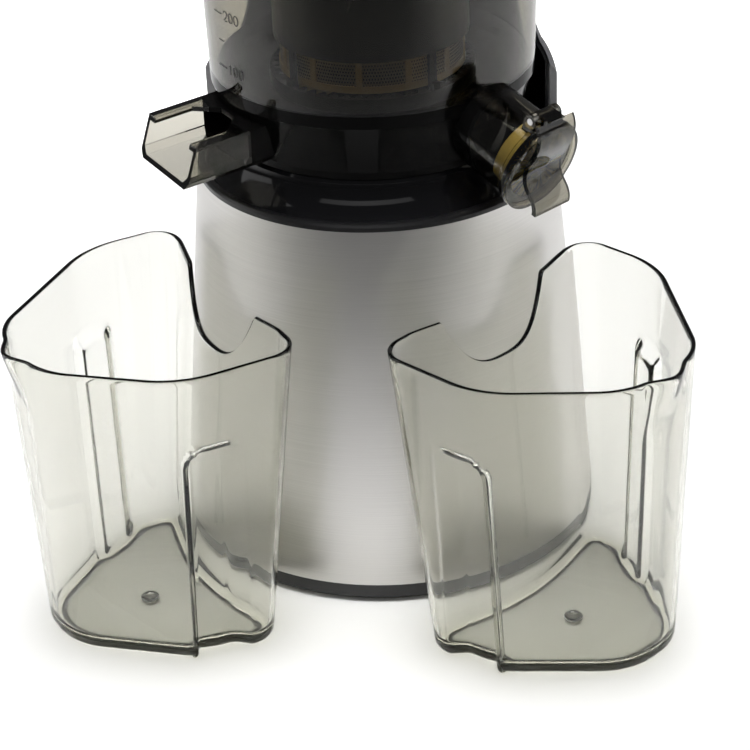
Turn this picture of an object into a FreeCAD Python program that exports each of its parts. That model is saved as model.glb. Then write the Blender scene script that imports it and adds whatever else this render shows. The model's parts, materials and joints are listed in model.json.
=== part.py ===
import FreeCAD, Part
import os
from math import acos, atan2, cos, degrees, pi, radians, sin, sqrt, tan

V = FreeCAD.Vector
Z = V(0, 0, 1)

# A vertical slow juicer with its two collecting cups. Millimetres, +Z up, front towards -Y.
# The origin is on the drive axis, on the plane that the rubber foot stands on.
# An azimuth is counted in degrees from the front, positive towards +X.

# ---- driving dimensions: motor base ----
BASE_R = 95.0            # outer radius of the black base ring
BASE_RING_TOP = 8.85     # top of the black base ring, where the steel shell starts
FLOOR_GAP = 1.2          # base ring above the table
FOOT_T = 3.0             # rubber foot thickness
FOOT_R = BASE_R - 11.0   # rubber foot outer radius
FOOT_W = 12.0            # rubber foot width
BASE_T = 3.0             # base plate thickness
DECK_Z = 173.8           # top edge of the steel shell
DECK_R = 78.9            # outer radius of the steel shell at its top edge
STEEL_T = 1.2            # steel shell thickness
CLEAR = 0.3              # assembly clearance between neighbouring parts
RUN = 0.04               # radial running clearance of shafts in bores
FAR = 300.0              # reach of a cutting tool that must pass right through

BEZEL_H = 3.2            # height of the black trim ring over the steel edge
BEZEL_W = 3.3            # width of the trim ring
BEZEL_SPIGOT = 6.0       # how deep the trim ring and the deck hang into the shell
DOME_R = DECK_R - 12.7   # radius of the deck's raised dome at its top
DOME_RISE = 17.1         # dome above the steel edge
DOME_Z = DECK_Z + DOME_RISE
DECK_T = 2.6             # deck wall
SKIRT_GAP = 0.35         # bowl skirt above the dome

# ---- driving dimensions: bowl and juicing set ----
SKIRT_R = DOME_R - 1.1   # outer radius of the bowl's skirt at its lower rim
BOWL_R = SKIRT_R + 5.0   # outer radius of the bowl just above its floor
BOWL_TOP_R = BOWL_R + 2.5    # outer radius of the bowl under its rim flange
SKIRT_H = 21.1           # top of the bowl's floor above the dome
BOWL_H = 110.0           # top of the bowl above the top of its floor
BOWL_T = 2.6             # bowl wall
BOWL_FLOOR = DOME_Z + SKIRT_H
BOWL_FLOOR_T = 3.0       # floor thickness
BOWL_TOP = BOWL_FLOOR + BOWL_H
RIM_R = BOWL_TOP_R + 1.8     # rim flange radius
RIM_H = 4.0              # rim flange height
LEDGE_Z = BOWL_TOP - 8.0     # top of the ledge that carries the strainer
LEDGE_W = 3.4            # width of that ledge

GEAR_M = 1.7             # module of the brush drive, which also sets the strainer's size
GEAR_H = 6.2             # face width of the brush drive
GEAR_LIFT = 0.3          # brush drive gears above the floor
SUN_TEETH = 20
IDLER_TEETH = 14
RING_TEETH = SUN_TEETH + 2 * IDLER_TEETH
IDLER_AZ = 150.0         # azimuth of the idler gear
IDLER_PIN_R = 2.5
SUN_R = GEAR_M * SUN_TEETH / 2
IDLER_R = GEAR_M * IDLER_TEETH / 2
IDLER_A = SUN_R + IDLER_R
RING_PITCH_R = GEAR_M * RING_TEETH / 2
RING_R = RING_PITCH_R + 3.7  # outer radius of the brush's ring gear
STRAINER_R = RING_PITCH_R - 0.6  # outer radius of the strainer's frame
STRAINER_IN_R = STRAINER_R - 1.2     # inner radius of the strainer
MESH_T = 0.5             # mesh thickness
STRAINER_RIBS = 12
SLEEVE_IN_R = STRAINER_R + 0.4   # inner radius of the brush frame's sleeve
SLEEVE_R = SLEEVE_IN_R + 1.6     # outer radius of the brush frame's sleeve
SLEEVE_Z = BOWL_FLOOR + 22.0     # lower edge of the sleeve
SLEEVE_TOP = LEDGE_Z - 2.0   # upper edge of the sleeve
WINDOW_H = 38.0          # height of the sleeve's windows
WINDOW_W = 22.0          # width of the sleeve's windows
WINDOW_Z = SLEEVE_TOP - 8.0 - WINDOW_H
WINDOWS = 4
BLADE_GAP = 0.8          # blades from the bowl's wall
AUGER_R = STRAINER_IN_R - 0.6    # radius of the auger's flights
AUGER_TOP = LEDGE_Z - 1.0    # top of the auger's core
AUGER_PIN_R = 4.0        # pin on top of the auger
AUGER_PIN_H = 12.0
FLIGHT_TURNS = 1.75      # turns of each of the auger's two flights
FLIGHT_T = 4.0           # thickness of a flight at its root
HEX_AF = 10.0            # across flats of the drive shaft's top
HEX_Z = DOME_Z + 7.1     # where the hexagon starts
HEX_TOP = BOWL_FLOOR + 26.0  # top of the drive shaft

# ---- driving dimensions: spouts and cap ----
JUICE_AZ = 52.0          # azimuth of the juice spout
JUICE_SLOPE = 19.0       # fall of the juice spout
JUICE_R = 18.2           # outer radius
JUICE_WALL = 2.4
JUICE_BORE = JUICE_R - JUICE_WALL
JUICE_Z = BOWL_FLOOR + 18.6  # height where its axis meets the drive axis
JUICE_END = BOWL_R + 29.9    # end of the tube, measured along its axis
PULP_AZ = -52.0          # azimuth of the pulp spout
PULP_SLOPE = 4.0         # fall of the pulp spout
PULP_END = BOWL_R + 32.9     # end of its floor, from the drive axis
PULP_Z = DOME_Z + 0.6    # underside of its floor at the end
PULP_W = 45.0            # outer width
PULP_H = SKIRT_H - 3.6   # outer height
PULP_WALL = 2.2
PULP_SLANT = 6.0         # how far the end's top edge stands back
PULP_LIP = 6.5           # width of the lips beside the open top
PULP_SLOT = 30.0         # length of the open top
PULP_HOLE_R = IDLER_R - 3.9  # pulp outlet in the floor of the bowl
CAP_R = JUICE_R + 2.3    # radius of the cap's disc
CAP_T = 2.6              # thickness of the cap's disc
LEVER_W = 21.0           # width of the cap's lever
LEVER_T = 2.2            # thickness of the lever
PLUG_L = 9.0             # depth of the cap's silicone plug
PLUG_STEM_R = 6.0        # stem of the cap that carries the plug
HINGE_H = CAP_R + 1.5    # cap hinge above the spout's axis
HINGE_BACK = 2.8         # cap hinge behind the end of the spout
PIN_R = 1.5              # hinge pin radius
KNUCKLE_R = 3.0
KNUCKLE_W = 9.4
EAR_T = 3.0

# ---- driving dimensions: lid, chute and pusher ----
LID_T = 2.4
LID_R = RIM_R + 2.8      # outer radius of the lid's skirt
LID_SKIRT = 8.0          # how far the skirt hangs over the bowl's rim
CROWN_H = 16.0           # rise of the lid's crown
CHUTE_R = 21.0           # bore of the feed chute
CHUTE_Y = -18.0          # chute axis in front of the drive axis
CHUTE_TOP = BOWL_TOP + 103.0
PUSHER_TOP = CHUTE_TOP + 23.0
PUSHER_END = CHUTE_TOP - 53.0    # lower end of the pusher at rest
PUSHER_T = 2.2           # pusher wall
PUSHER_CAP_R = CHUTE_R + 5.0

# ---- driving dimensions: cups ----
CUP_H = 144.0            # height of the cups
CUP_T = 2.0              # cup wall
CUP_FLOOR = 2.4          # cup floor
RIM_ROUND = 0.9          # rounding of the cup's rim
CUP_FOOT = 1.0           # height of the cup's small feet
CUP_FOOT_R = 4.0
CUP_AZ = -54.0           # azimuth that the pulp cup stands in
CUP_GAP = 3.0            # cup from the motor base
# Corners of the cup's outline as (distance out from the inner wall, offset to the front, corner radius)
CUP_RIM = [(0.0, -41.0, 12.0), (41.0, -41.0, 42.0), (101.0, 9.0, 30.0),
           (101.0, 52.0, 34.0), (55.0, 92.5, 40.0), (0.0, 92.5, 13.0)]
CUP_BASE = [(0.0, -31.0, 10.0), (30.0, -31.0, 36.0), (82.0, 9.0, 28.0),
            (82.0, 41.0, 32.0), (34.0, 82.5, 38.0), (0.0, 82.5, 12.0)]
CUT_FROM = -27.0         # U-shaped cut in the wall that faces the base
CUT_TO = 57.0
CUT_DEPTH = 28.0
CUT_R = 22.0
GRIP_H = 109.0           # height of the finger grips
GRIP_DEPTH = 7.0
GRIP_FRONT = 45.0        # how far out from the inner wall the front grip reaches
GRIP_BACK = 36.0         # where the back grip starts
LIP_R = 9.0              # pouring lip
LIP_H = 26.0

# ---- driving dimensions: rear handle ----
HANDLE_R = DECK_R + 1.9  # outer radius of the silver handle shell
HANDLE_T = 3.3           # silver shell thickness
LINING_T = 1.6           # black lining thickness
HANDLE_FRONT = 19.6      # the handle's front edges stand this far behind the drive axis
HANDLE_TOP = BOWL_TOP - 22.0
SHOULDER_Z = DECK_Z + 29.2   # where the shoulders start
SHOULDER_W = HANDLE_R - 10.8     # half width above the shoulders
HANDLE_W = HANDLE_R - 26.8   # half width at the top
FINGER_H = 24.0          # height of the finger opening
FINGER_W = 38.0          # half width of the finger opening
FINGER_Z = HANDLE_TOP - 14.0 - FINGER_H  # lower edge of the finger opening

# ---- driving dimensions: drive ----
PLATE_Z = FLOOR_GAP + BASE_T
CAN_R = 42.0             # motor can
CAN_T = 1.8
PAD_H = 3.7              # rubber pads under the motor can
CAN_Z = PLATE_Z + PAD_H + 0.1    # underside of the motor can
CAN_H = 76.0
CAN_TOP = CAN_Z + CAN_H
ROTOR_R = CAN_R - 22.0
AIR_GAP = 0.4
STACK_Z = CAN_Z + 20.0
STACK_H = CAN_H / 2
TRAIN_M = (DECK_R - 3.9) / 75.0  # module of the reduction gears, as large as the shell has room for
SHAFT_R = 4.0 * TRAIN_M  # motor and counter shaft
DRIVE_R = 6.0            # output shaft
PINION_TEETH = 12
WHEEL_TEETH = 60
PINION_H = 10.0
STAGE2_H = 12.0
BOX_WALL = 2.5           # gearbox wall
BOX_Z = CAN_TOP
PINION_Z = BOX_Z + BOX_WALL + 2.0
STAGE2_Z = PINION_Z + PINION_H + 2.0
BOX_H = STAGE2_Z + STAGE2_H + 9.5 - BOX_Z    # gearbox height
BOX_LID_T = 3.0
BOX_TOP = BOX_Z + BOX_H + BOX_LID_T
ROTOR_SHAFT_TOP = PINION_Z + PINION_H + 1.0
TRAIN_A = TRAIN_M * (PINION_TEETH + WHEEL_TEETH) / 2
WHEEL_TIP = TRAIN_M * (WHEEL_TEETH / 2 + 0.8)
BOX_R = WHEEL_TIP + 1.5
BEARING_R = 10.0
BEARING_H = 6.0
LEG_R = 4.0              # legs of the gearbox
FAN_R = CAN_R - 10.0
FAN_BLADES = 9
BOARD_X = -(CAN_R + 18.2)    # component side of the control board
BOARD_T = 1.6
BOARD_HALF_W = 32.0
BOARD_TOP = 62.0
SWITCH_Z = 72.0          # centre of the power switch on the rear
ROCKER_W = 14.0
ROCKER_H = 22.0
ROCKER_PIVOT_R = 1.4
ROCKER_PLAY = 2.0        # room above and below the rocker for its tilt
SWITCH_HALF_W = ROCKER_W / 2 + 4.0
SWITCH_HALF_H = ROCKER_H / 2 + 4.0
CORD_Z = 24.0            # centre of the cord inlet
CORD_R = 3.8             # hole for the cord
GLAND_R = CORD_R + 3.0

# ---- helpers ----


def polygon(points):
    """Closed straight-sided wire through points given as vectors."""
    return Part.makePolygon(points + [points[0]])


def revolve(profile):
    """Solid of revolution about the drive axis of (radius, z) corners."""
    face = Part.Face(polygon([V(r, 0, z) for r, z in profile]))
    return face.revolve(V(0, 0, 0), Z, 360)


def cyl(r, z0, z1, x=0.0, y=0.0):
    return Part.makeCylinder(r, z1 - z0, V(x, y, z0))


def tube(r_out, r_in, z0, z1, x=0.0, y=0.0):
    return cyl(r_out, z0, z1, x, y).cut(cyl(r_in, z0 - 1, z1 + 1, x, y))


def box(x0, x1, y0, y1, z0, z1):
    return Part.makeBox(x1 - x0, y1 - y0, z1 - z0, V(x0, y0, z0))


def turned(shape, azimuth):
    """Copy of a shape built along +X, turned to stand at an azimuth."""
    copy = shape.copy()
    copy.rotate(V(0, 0, 0), Z, azimuth - 90)
    return copy


def polar(r, azimuth, z=0.0):
    return V(r * sin(radians(azimuth)), -r * cos(radians(azimuth)), z)


def fuse_all(shapes):
    first = shapes[0]
    return first.multiFuse(shapes[1:]) if len(shapes) > 1 else first


def save(name, shape):
    """Write one node; loose pieces of a node go out as a compound."""
    solids = shape.Solids
    shape = solids[0] if len(solids) == 1 else Part.makeCompound(solids)
    shape.exportStep("parts/%s.step" % name)


def base_radius(z):
    """Outer radius of the steel cone at a height."""
    return BASE_R + (DECK_R - BASE_R) * (z - BASE_RING_TOP) / (DECK_Z - BASE_RING_TOP)


def involute_gear(teeth, module, z0, height, bore, internal_r=None, phase=0.0):
    """Spur gear with short involute teeth; internal_r makes a ring gear of that outer radius."""
    pressure, addendum, dedendum, backlash = radians(25), 0.8, 1.05, 0.12
    inside = internal_r is not None
    pitch = module * teeth / 2
    base = pitch * cos(pressure)
    top = pitch + (dedendum if inside else addendum) * module
    root = pitch - (addendum if inside else dedendum) * module
    start = max(base, root)
    inv_pitch = tan(pressure) - pressure
    play = backlash if inside else -backlash
    half = pi / 2 / teeth + play / 2 / pitch

    def flank(radius):
        angle = acos(min(1.0, base / radius))
        return half + inv_pitch - (tan(angle) - angle)

    radii = [start + (top - start) * k / 4 for k in range(5)]
    points = []
    for tooth in range(teeth):
        middle = phase + 2 * pi * tooth / teeth
        side = [(root, -flank(start))] if root < start else []
        side += [(r, -flank(r)) for r in radii]
        side += [(r, flank(r)) for r in reversed(radii)]
        side += [(root, flank(start))] if root < start else []
        points += [V(r * cos(middle + a), r * sin(middle + a), z0) for r, a in side]
    toothed = Part.Face(polygon(points)).extrude(V(0, 0, height))
    if inside:
        return tube(internal_r, 1, z0, z0 + height).cut(toothed)
    return toothed.cut(cyl(bore, z0 - 1, z0 + height + 1))


def screws(places, z, length, shank_r, head_r, head_h, up=True):
    """Group of identical pan-head screws; the heads are on the side that 'up' says."""
    sign = 1 if up else -1
    group = []
    for x, y in places:
        low, high = sorted((z - sign * length, z))
        body = cyl(shank_r, low, high, x, y)
        low, high = sorted((z, z + sign * head_h))
        head = cyl(head_r, low, high, x, y)
        slot = box(x - head_r, x + head_r, y - 0.5, y + 0.5, -1, 1)
        slot.translate(V(0, 0, z + sign * head_h))
        group.append(body.fuse(head.cut(slot)))
    return Part.makeCompound(group)


def ring_places(count, radius, first=0.0):
    """Evenly spaced places on a circle, as (x, y)."""
    spots = [polar(radius, first + 360.0 * k / count) for k in range(count)]
    return [(p.x, p.y) for p in spots]


# ---- motor base: shells ----
SCREW_R = FOOT_R + 4.0
SCREW_PLACES = ring_places(4, SCREW_R, 45)
LID_PLACES = ([(x, s * (BOX_R + 3.2)) for s in (-1, 1) for x in (0.0, TRAIN_A)]
              + [(-(BOX_R + 3.2), 0.0), (TRAIN_A + BOX_R + 3.2, 0.0)])


def foot_ring():
    ring = tube(FOOT_R, FOOT_R - FOOT_W, 0, FOOT_T)
    edges = [e for e in ring.Edges if abs(e.BoundBox.ZMax) < 1e-6]
    return ring.makeFillet(0.6, edges)


def base_cover():
    lip_r = base_radius(BASE_RING_TOP + 4) - STEEL_T - CLEAR
    profile = [(0, FLOOR_GAP), (BASE_R - 1.5, FLOOR_GAP), (BASE_R, FLOOR_GAP + 1.5), (BASE_R, BASE_RING_TOP),
               (lip_r, BASE_RING_TOP), (lip_r, BASE_RING_TOP + 4), (lip_r - 2, BASE_RING_TOP + 4),
               (lip_r - 2, PLATE_Z), (0, PLATE_Z)]
    cover = revolve(profile)
    groove = tube(FOOT_R + CLEAR, FOOT_R - FOOT_W - CLEAR, 0, FOOT_T)
    cover = cover.fuse(tube(FOOT_R + 2, FOOT_R - FOOT_W - 2, FLOOR_GAP, FOOT_T + 2)).cut(groove)
    vents = []
    for ring in range(4):
        r = 24.0 + 7 * ring
        band = tube(r + 2, r, 0, PLATE_Z + 1)
        for spoke in range(6):
            vents.append(band.common(turned(box(0, FOOT_R, -0.36 * r, 0.36 * r, 0, PLATE_Z + 1), 60 * spoke)))
    cover = cover.cut(Part.makeCompound(vents))
    posts = [cyl(4.0, FLOOR_GAP, 16, x, y) for x, y in SCREW_PLACES]
    holes = [cyl(1.7, 0, 17, x, y) for x, y in SCREW_PLACES]
    sinks = [cyl(3.6, 0, FLOOR_GAP + 2, x, y) for x, y in SCREW_PLACES]
    # rails that the control board stands between
    rails = []
    for x in (BOARD_X - BOARD_T - 0.4, BOARD_X + 0.4 + 2.3):
        for y in (2 - BOARD_HALF_W, BOARD_HALF_W - 10):
            rails.append(box(x - 2.3, x, y, y + 8, FLOOR_GAP + 1, PLATE_Z + 9.8))
    return fuse_all([cover] + posts + rails).cut(Part.makeCompound(holes + sinks))


def steel_shell():
    low, high = base_radius(BASE_RING_TOP), DECK_R
    shell = revolve([(low - STEEL_T, BASE_RING_TOP), (low, BASE_RING_TOP), (high, DECK_Z),
                     (high - STEEL_T, DECK_Z)])
    opening = box(-SWITCH_HALF_W, SWITCH_HALF_W, 0, BASE_R + 10,
                  SWITCH_Z - SWITCH_HALF_H, SWITCH_Z + SWITCH_HALF_H)
    inlet = Part.makeCylinder(GLAND_R, FAR, V(0, 0, CORD_Z), V(0, 1, 0))
    return shell.cut(opening).cut(inlet)


def deck_bezel():
    """C-shaped trim ring on the steel edge; the handle takes its place at the rear."""
    inner = DECK_R - BEZEL_W
    spigot = DECK_R - STEEL_T - CLEAR
    top = DECK_Z + BEZEL_H
    low = DECK_Z - BEZEL_SPIGOT
    ring = revolve([(inner, low), (spigot, low), (spigot, DECK_Z), (DECK_R, DECK_Z),
                    (DECK_R - 0.2, DECK_Z + BEZEL_H * 0.55), (DECK_R - 0.9, top - 0.4),
                    (DECK_R - 1.7, top), (inner, top)])
    return ring.cut(box(-FAR, FAR, HANDLE_FRONT - CLEAR, FAR, low - 4, top + 10))


def deck_cover():
    """Glossy black top of the base: a ledge, a hollow sweep up to a dome, and the shaft's hub."""
    edge = DECK_R - BEZEL_W - CLEAR
    ledge = DECK_Z + BEZEL_H - 0.9
    low = DECK_Z - BEZEL_SPIGOT
    sweep = Part.Arc(V(edge - 0.6, 0, ledge), V(DOME_R + 3.0, 0, DOME_Z - 9.5), V(DOME_R, 0, DOME_Z - 1.2))
    corners = [V(DOME_R, 0, DOME_Z - 1.2), V(DOME_R - 1.2, 0, DOME_Z), V(15, 0, DOME_Z), V(13, 0, DOME_Z + 3),
               V(DRIVE_R + 2.6, 0, DOME_Z + 3), V(DRIVE_R + 2.6, 0, DOME_Z), V(DRIVE_R + 1.2, 0, DOME_Z),
               V(DRIVE_R + 1.2, 0, DOME_Z - 3), V(BEARING_R + 1, 0, DOME_Z - 3),
               V(BEARING_R + 1, 0, DOME_Z - 3 - BEARING_H), V(BEARING_R + 4, 0, DOME_Z - 3 - BEARING_H),
               V(BEARING_R + 4, 0, DOME_Z - DECK_T), V(DOME_R - DECK_T, 0, DOME_Z - DECK_T),
               V(edge - 4.5, 0, ledge - 3), V(edge - 2.6, 0, low), V(edge, 0, low),
               V(edge, 0, ledge - 0.6), V(edge - 0.6, 0, ledge)]
    face = Part.Face(Part.Wire([sweep.toShape()] + Part.makePolygon(corners).Edges))
    deck = face.revolve(V(0, 0, 0), Z, 360)
    inner = SKIRT_R - BOWL_T - 0.6
    lugs = tube(inner, inner - 2.4, DOME_Z - 0.5, DOME_Z + 2.6)
    gates = [turned(box(0, FAR, -9, 9, DOME_Z - 1, DOME_Z + 4), a) for a in (30, 150, 270)]
    return deck.fuse(lugs.cut(Part.makeCompound(gates)))


def handle_outline(margin=0.0):
    """Outline of the rear handle seen from behind, extruded through it; margin widens the inside."""
    up = HANDLE_TOP - margin
    wide, mid, top = HANDLE_R + 5, SHOULDER_W - margin, HANDLE_W - margin
    low = DECK_Z - 20
    neck = HANDLE_R - 1.6
    bend = SHOULDER_Z + 11
    right = [Part.LineSegment(V(wide, 0, low), V(wide, 0, SHOULDER_Z - 10 - margin)),
             Part.LineSegment(V(wide, 0, SHOULDER_Z - 10 - margin), V(neck, 0, SHOULDER_Z - margin)),
             Part.Arc(V(neck, 0, SHOULDER_Z - margin), V(neck - 3, 0, SHOULDER_Z + 6 - margin),
                      V(mid, 0, bend - margin)),
             Part.Arc(V(mid, 0, bend - margin), V(mid - 4, 0, bend + 8 - margin),
                      V(mid - 6, 0, bend + 24 - margin)),
             Part.LineSegment(V(mid - 6, 0, bend + 24 - margin), V(top, 0, up - 22)),
             Part.Arc(V(top, 0, up - 22), V(top - 7, 0, up - 7), V(top - 24, 0, up))]
    edges = [g.toShape() for g in right]
    mirrored = [e.mirror(V(0, 0, 0), V(1, 0, 0)) for e in edges]
    closing = [Part.LineSegment(V(top - 24, 0, up), V(24 - top, 0, up)).toShape(),
               Part.LineSegment(V(-wide, 0, low), V(wide, 0, low)).toShape()]
    wire = Part.Wire(Part.__sortEdges__(edges + mirrored + closing))
    return Part.Face(wire).extrude(V(0, FAR, 0))


def handle_wall(r_out, r_in, z0, margin):
    wall = tube(r_out, r_in, z0, HANDLE_TOP + 1)
    wall = wall.cut(box(-FAR, FAR, -FAR, HANDLE_FRONT, z0 - 1, HANDLE_TOP + 2))
    return wall.common(handle_outline(margin))


def finger_opening(grow):
    """Rounded slot through the handle for the fingers."""
    half_w, low, high = FINGER_W + grow, FINGER_Z - grow, FINGER_Z + FINGER_H + grow
    r = (high - low) / 2
    middle = (low + high) / 2
    slot = box(-half_w + r, half_w - r, HANDLE_FRONT, FAR, low, high)
    ends = [Part.makeCylinder(r, FAR, V(s * (half_w - r), HANDLE_FRONT, middle), V(0, 1, 0)) for s in (-1, 1)]
    return fuse_all([slot] + ends)


def handle_shell():
    wall = handle_wall(HANDLE_R, HANDLE_R - HANDLE_T, DECK_Z, 0.0)
    return wall.cut(finger_opening(0.0))


def handle_lining():
    inner = HANDLE_R - HANDLE_T - CLEAR
    wall = handle_wall(inner, inner - LINING_T, DECK_Z - BEZEL_SPIGOT, 1.0)
    return wall.cut(finger_opening(1.0))


# ---- motor base: drive ----
def bearing(z0, r_in, x=0.0, y=0.0):
    ring = tube(BEARING_R, r_in + RUN, z0, z0 + BEARING_H, x, y)
    middle = (BEARING_R + r_in) / 2
    grooves = [tube(middle + 1.2, middle - 1.2, z, z + 1, x, y) for z in (z0, z0 + BEARING_H - 1)]
    return ring.cut(Part.makeCompound(grooves))


def stadium(r, z0, z1, grow=0.0):
    """Box plan of the gearbox: round ends about the drive axis and the counter shaft."""
    r = r + grow
    body = cyl(r, z0, z1).fuse(cyl(r, z0, z1, TRAIN_A, 0))
    return body.fuse(box(0, TRAIN_A, -r, r, z0, z1))


def motor_can():
    can = tube(CAN_R, CAN_R - CAN_T, CAN_Z, CAN_TOP)
    floor = cyl(CAN_R, CAN_Z, CAN_Z + CAN_T)
    seat = tube(BEARING_R + 2, BEARING_R, CAN_Z, CAN_Z + BEARING_H + 1)
    slots = [turned(box(CAN_R - 12, CAN_R + 8, -4, 4, z, z + 8), a)
             for a in range(0, 360, 45) for z in (CAN_Z + 6, CAN_TOP - 16)]
    stand = [cyl(5, CAN_Z - 0.1, CAN_Z + CAN_T, x, y) for x, y in ring_places(3, CAN_R - 8)]
    can = fuse_all([can, floor, seat] + stand).cut(cyl(SHAFT_R + 1, 0, CAN_Z + CAN_T))
    return can.cut(Part.makeCompound(slots + [cyl(BEARING_R, CAN_Z + CAN_T, CAN_Z + 20)]))


def motor_pads():
    """Rubber pads between the motor can and the base plate."""
    return Part.makeCompound([cyl(6, PLATE_Z, CAN_Z - 0.1, x, y) for x, y in ring_places(3, CAN_R - 8)])


def stator_core():
    r_out = CAN_R - CAN_T - 0.05
    core = tube(r_out, ROTOR_R + AIR_GAP, STACK_Z, STACK_Z + STACK_H)
    slots = [turned(box(ROTOR_R + 3, r_out - 5, -3.2, 3.2, 0, FAR), a) for a in range(0, 360, 30)]
    return core.cut(Part.makeCompound(slots))


def stator_winding():
    """Copper end turns above and below the laminations."""
    r_in, r_out = ROTOR_R + 4, CAN_R - CAN_T - 6
    ends = []
    for z0 in (STACK_Z - 7, STACK_Z + STACK_H):
        ring = tube(r_out, r_in, z0, z0 + 7)
        ends.append(ring.makeFillet(2.0, [e for e in ring.Edges if len(e.Vertexes) == 1]))
    return Part.makeCompound(ends)


def rotor_core():
    core = tube(ROTOR_R, SHAFT_R, STACK_Z + 1, STACK_Z + STACK_H - 1)
    slots = [turned(box(ROTOR_R - 2.5, ROTOR_R + 1, -0.8, 0.8, 0, FAR), a) for a in range(0, 360, 20)]
    return core.cut(Part.makeCompound(slots))


def rotor_shaft():
    return cyl(SHAFT_R, CAN_Z + 2, ROTOR_SHAFT_TOP)


def cooling_fan():
    z0 = CAN_TOP - 9
    hub = tube(9, SHAFT_R, z0 - 1, z0 + 5)
    disc = tube(FAN_R, SHAFT_R, z0 - 1, z0 + 0.5)
    blades = [turned(box(7, FAN_R, -0.8, 0.8, z0, z0 + 5), 360.0 * k / FAN_BLADES) for k in range(FAN_BLADES)]
    return fuse_all([hub, disc] + blades)


def gearbox_case():
    outer = stadium(BOX_R, BOX_Z, BOX_Z + BOX_H, BOX_WALL)
    inner = stadium(BOX_R, BOX_Z + BOX_WALL, BOX_Z + BOX_H + 1)
    ears = [cyl(4, BOX_Z, BOX_Z + BOX_H, x, y) for x, y in LID_PLACES]
    boss = cyl(BEARING_R + 2, BOX_Z - 4, BOX_Z + BOX_WALL)
    foot = cyl(SHAFT_R + 3, BOX_Z + BOX_WALL - 1, BOX_Z + BOX_WALL + 1.5, TRAIN_A, 0)
    leg_y = CAN_R + LEG_R + CLEAR
    side = radians(40)
    side_x, side_y = (CAN_R + LEG_R + 1) * cos(side), (CAN_R + LEG_R + 1) * sin(side)
    leg_places = [(TRAIN_A + BOX_R - LEG_R, 0), (0, leg_y), (0, -leg_y), (side_x, side_y), (side_x, -side_y)]
    legs = [cyl(LEG_R, PLATE_Z, BOX_Z + BOX_WALL, x, y) for x, y in leg_places]
    bridges = [box(-LEG_R, LEG_R, -leg_y, leg_y, BOX_Z, BOX_Z + BOX_WALL)]
    case = fuse_all([outer] + ears).cut(inner)
    case = fuse_all([case, boss, foot] + legs + bridges)
    cuts = [cyl(BEARING_R, BOX_Z - 5, BOX_Z - 4 + BEARING_H), cyl(SHAFT_R + 1, BOX_Z - 5, BOX_Z + 10),
            cyl(SHAFT_R + RUN, BOX_Z + 1, BOX_Z + 10, TRAIN_A, 0)]
    cuts += [cyl(1.5, BOX_Z + BOX_H - 12, BOX_Z + BOX_H + 1, x, y) for x, y in LID_PLACES]
    return case.cut(Part.makeCompound(cuts))


def gearbox_lid():
    z0 = BOX_Z + BOX_H
    plate = stadium(BOX_R, z0, BOX_TOP, BOX_WALL)
    ears = [cyl(4, z0, BOX_TOP, x, y) for x, y in LID_PLACES]
    boss = cyl(BEARING_R + 2.5, z0, BOX_TOP + BEARING_H)
    cap = cyl(SHAFT_R + 3, z0 - 2, BOX_TOP, TRAIN_A, 0)
    holes = [cyl(1.7, z0 - 1, BOX_TOP + 1, x, y) for x, y in LID_PLACES]
    holes += [cyl(BEARING_R, BOX_TOP, BOX_TOP + 20), cyl(DRIVE_R + 1, z0 - 1, BOX_TOP + 20),
              cyl(SHAFT_R + RUN, z0 - 3, z0 + 1, TRAIN_A, 0)]
    return fuse_all([plate, boss, cap] + ears).cut(Part.makeCompound(holes))


def motor_pinion():
    return involute_gear(PINION_TEETH, TRAIN_M, PINION_Z, PINION_H, SHAFT_R)


def counter_place(shape):
    moved = shape.copy()
    moved.translate(V(TRAIN_A, 0, 0))
    return moved


def counter_wheel():
    # the wheel shows a gap to the pinion's tooth, which lies on the line of centres
    wheel = involute_gear(WHEEL_TEETH, TRAIN_M, PINION_Z + 1, PINION_H - 2, SHAFT_R,
                          phase=pi + pi / WHEEL_TEETH)
    holes = [cyl(5, 0, FAR, x, y) for x, y in ring_places(6, 0.6 * WHEEL_TIP)]
    return counter_place(wheel.cut(Part.makeCompound(holes)))


def counter_pinion():
    return counter_place(involute_gear(PINION_TEETH, TRAIN_M, STAGE2_Z, STAGE2_H, SHAFT_R, phase=pi))


def counter_shaft():
    return cyl(SHAFT_R, BOX_Z + BOX_WALL, BOX_Z + BOX_H - 0.3, TRAIN_A, 0)


def output_wheel():
    wheel = involute_gear(WHEEL_TEETH, TRAIN_M, STAGE2_Z + 1, STAGE2_H - 2, DRIVE_R,
                          phase=pi / WHEEL_TEETH)
    holes = [cyl(5, 0, FAR, x, y) for x, y in ring_places(6, 0.62 * WHEEL_TIP)]
    return wheel.cut(Part.makeCompound(holes))


def hexagon(across_flats, z0, z1):
    r = across_flats / 2 / cos(pi / 6)
    corners = [V(r * cos(pi / 3 * k), r * sin(pi / 3 * k), z0) for k in range(6)]
    return Part.Face(polygon(corners)).extrude(V(0, 0, z1 - z0))


def drive_shaft():
    low = max(ROTOR_SHAFT_TOP + 1, STAGE2_Z - 2)
    round_part = cyl(DRIVE_R, low, HEX_Z)
    collar = cyl(DRIVE_R + 3, BOX_TOP + BEARING_H + CLEAR, BOX_TOP + BEARING_H + 7)
    point = Part.makeCone(HEX_AF / 2, HEX_AF / 2 - 1.5, 1.5, V(0, 0, HEX_TOP - 1.5))
    return fuse_all([round_part, collar, hexagon(HEX_AF, HEX_Z, HEX_TOP - 1.5), point])


def shaft_seal():
    """Rubber lip seal in the deck's hub."""
    return revolve([(DRIVE_R + 0.35, DOME_Z + 1.4), (DRIVE_R + 1.4, DOME_Z), (DRIVE_R + 2.6, DOME_Z),
                    (DRIVE_R + 2.6, DOME_Z + 3), (DRIVE_R + 0.8, DOME_Z + 3)])


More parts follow.
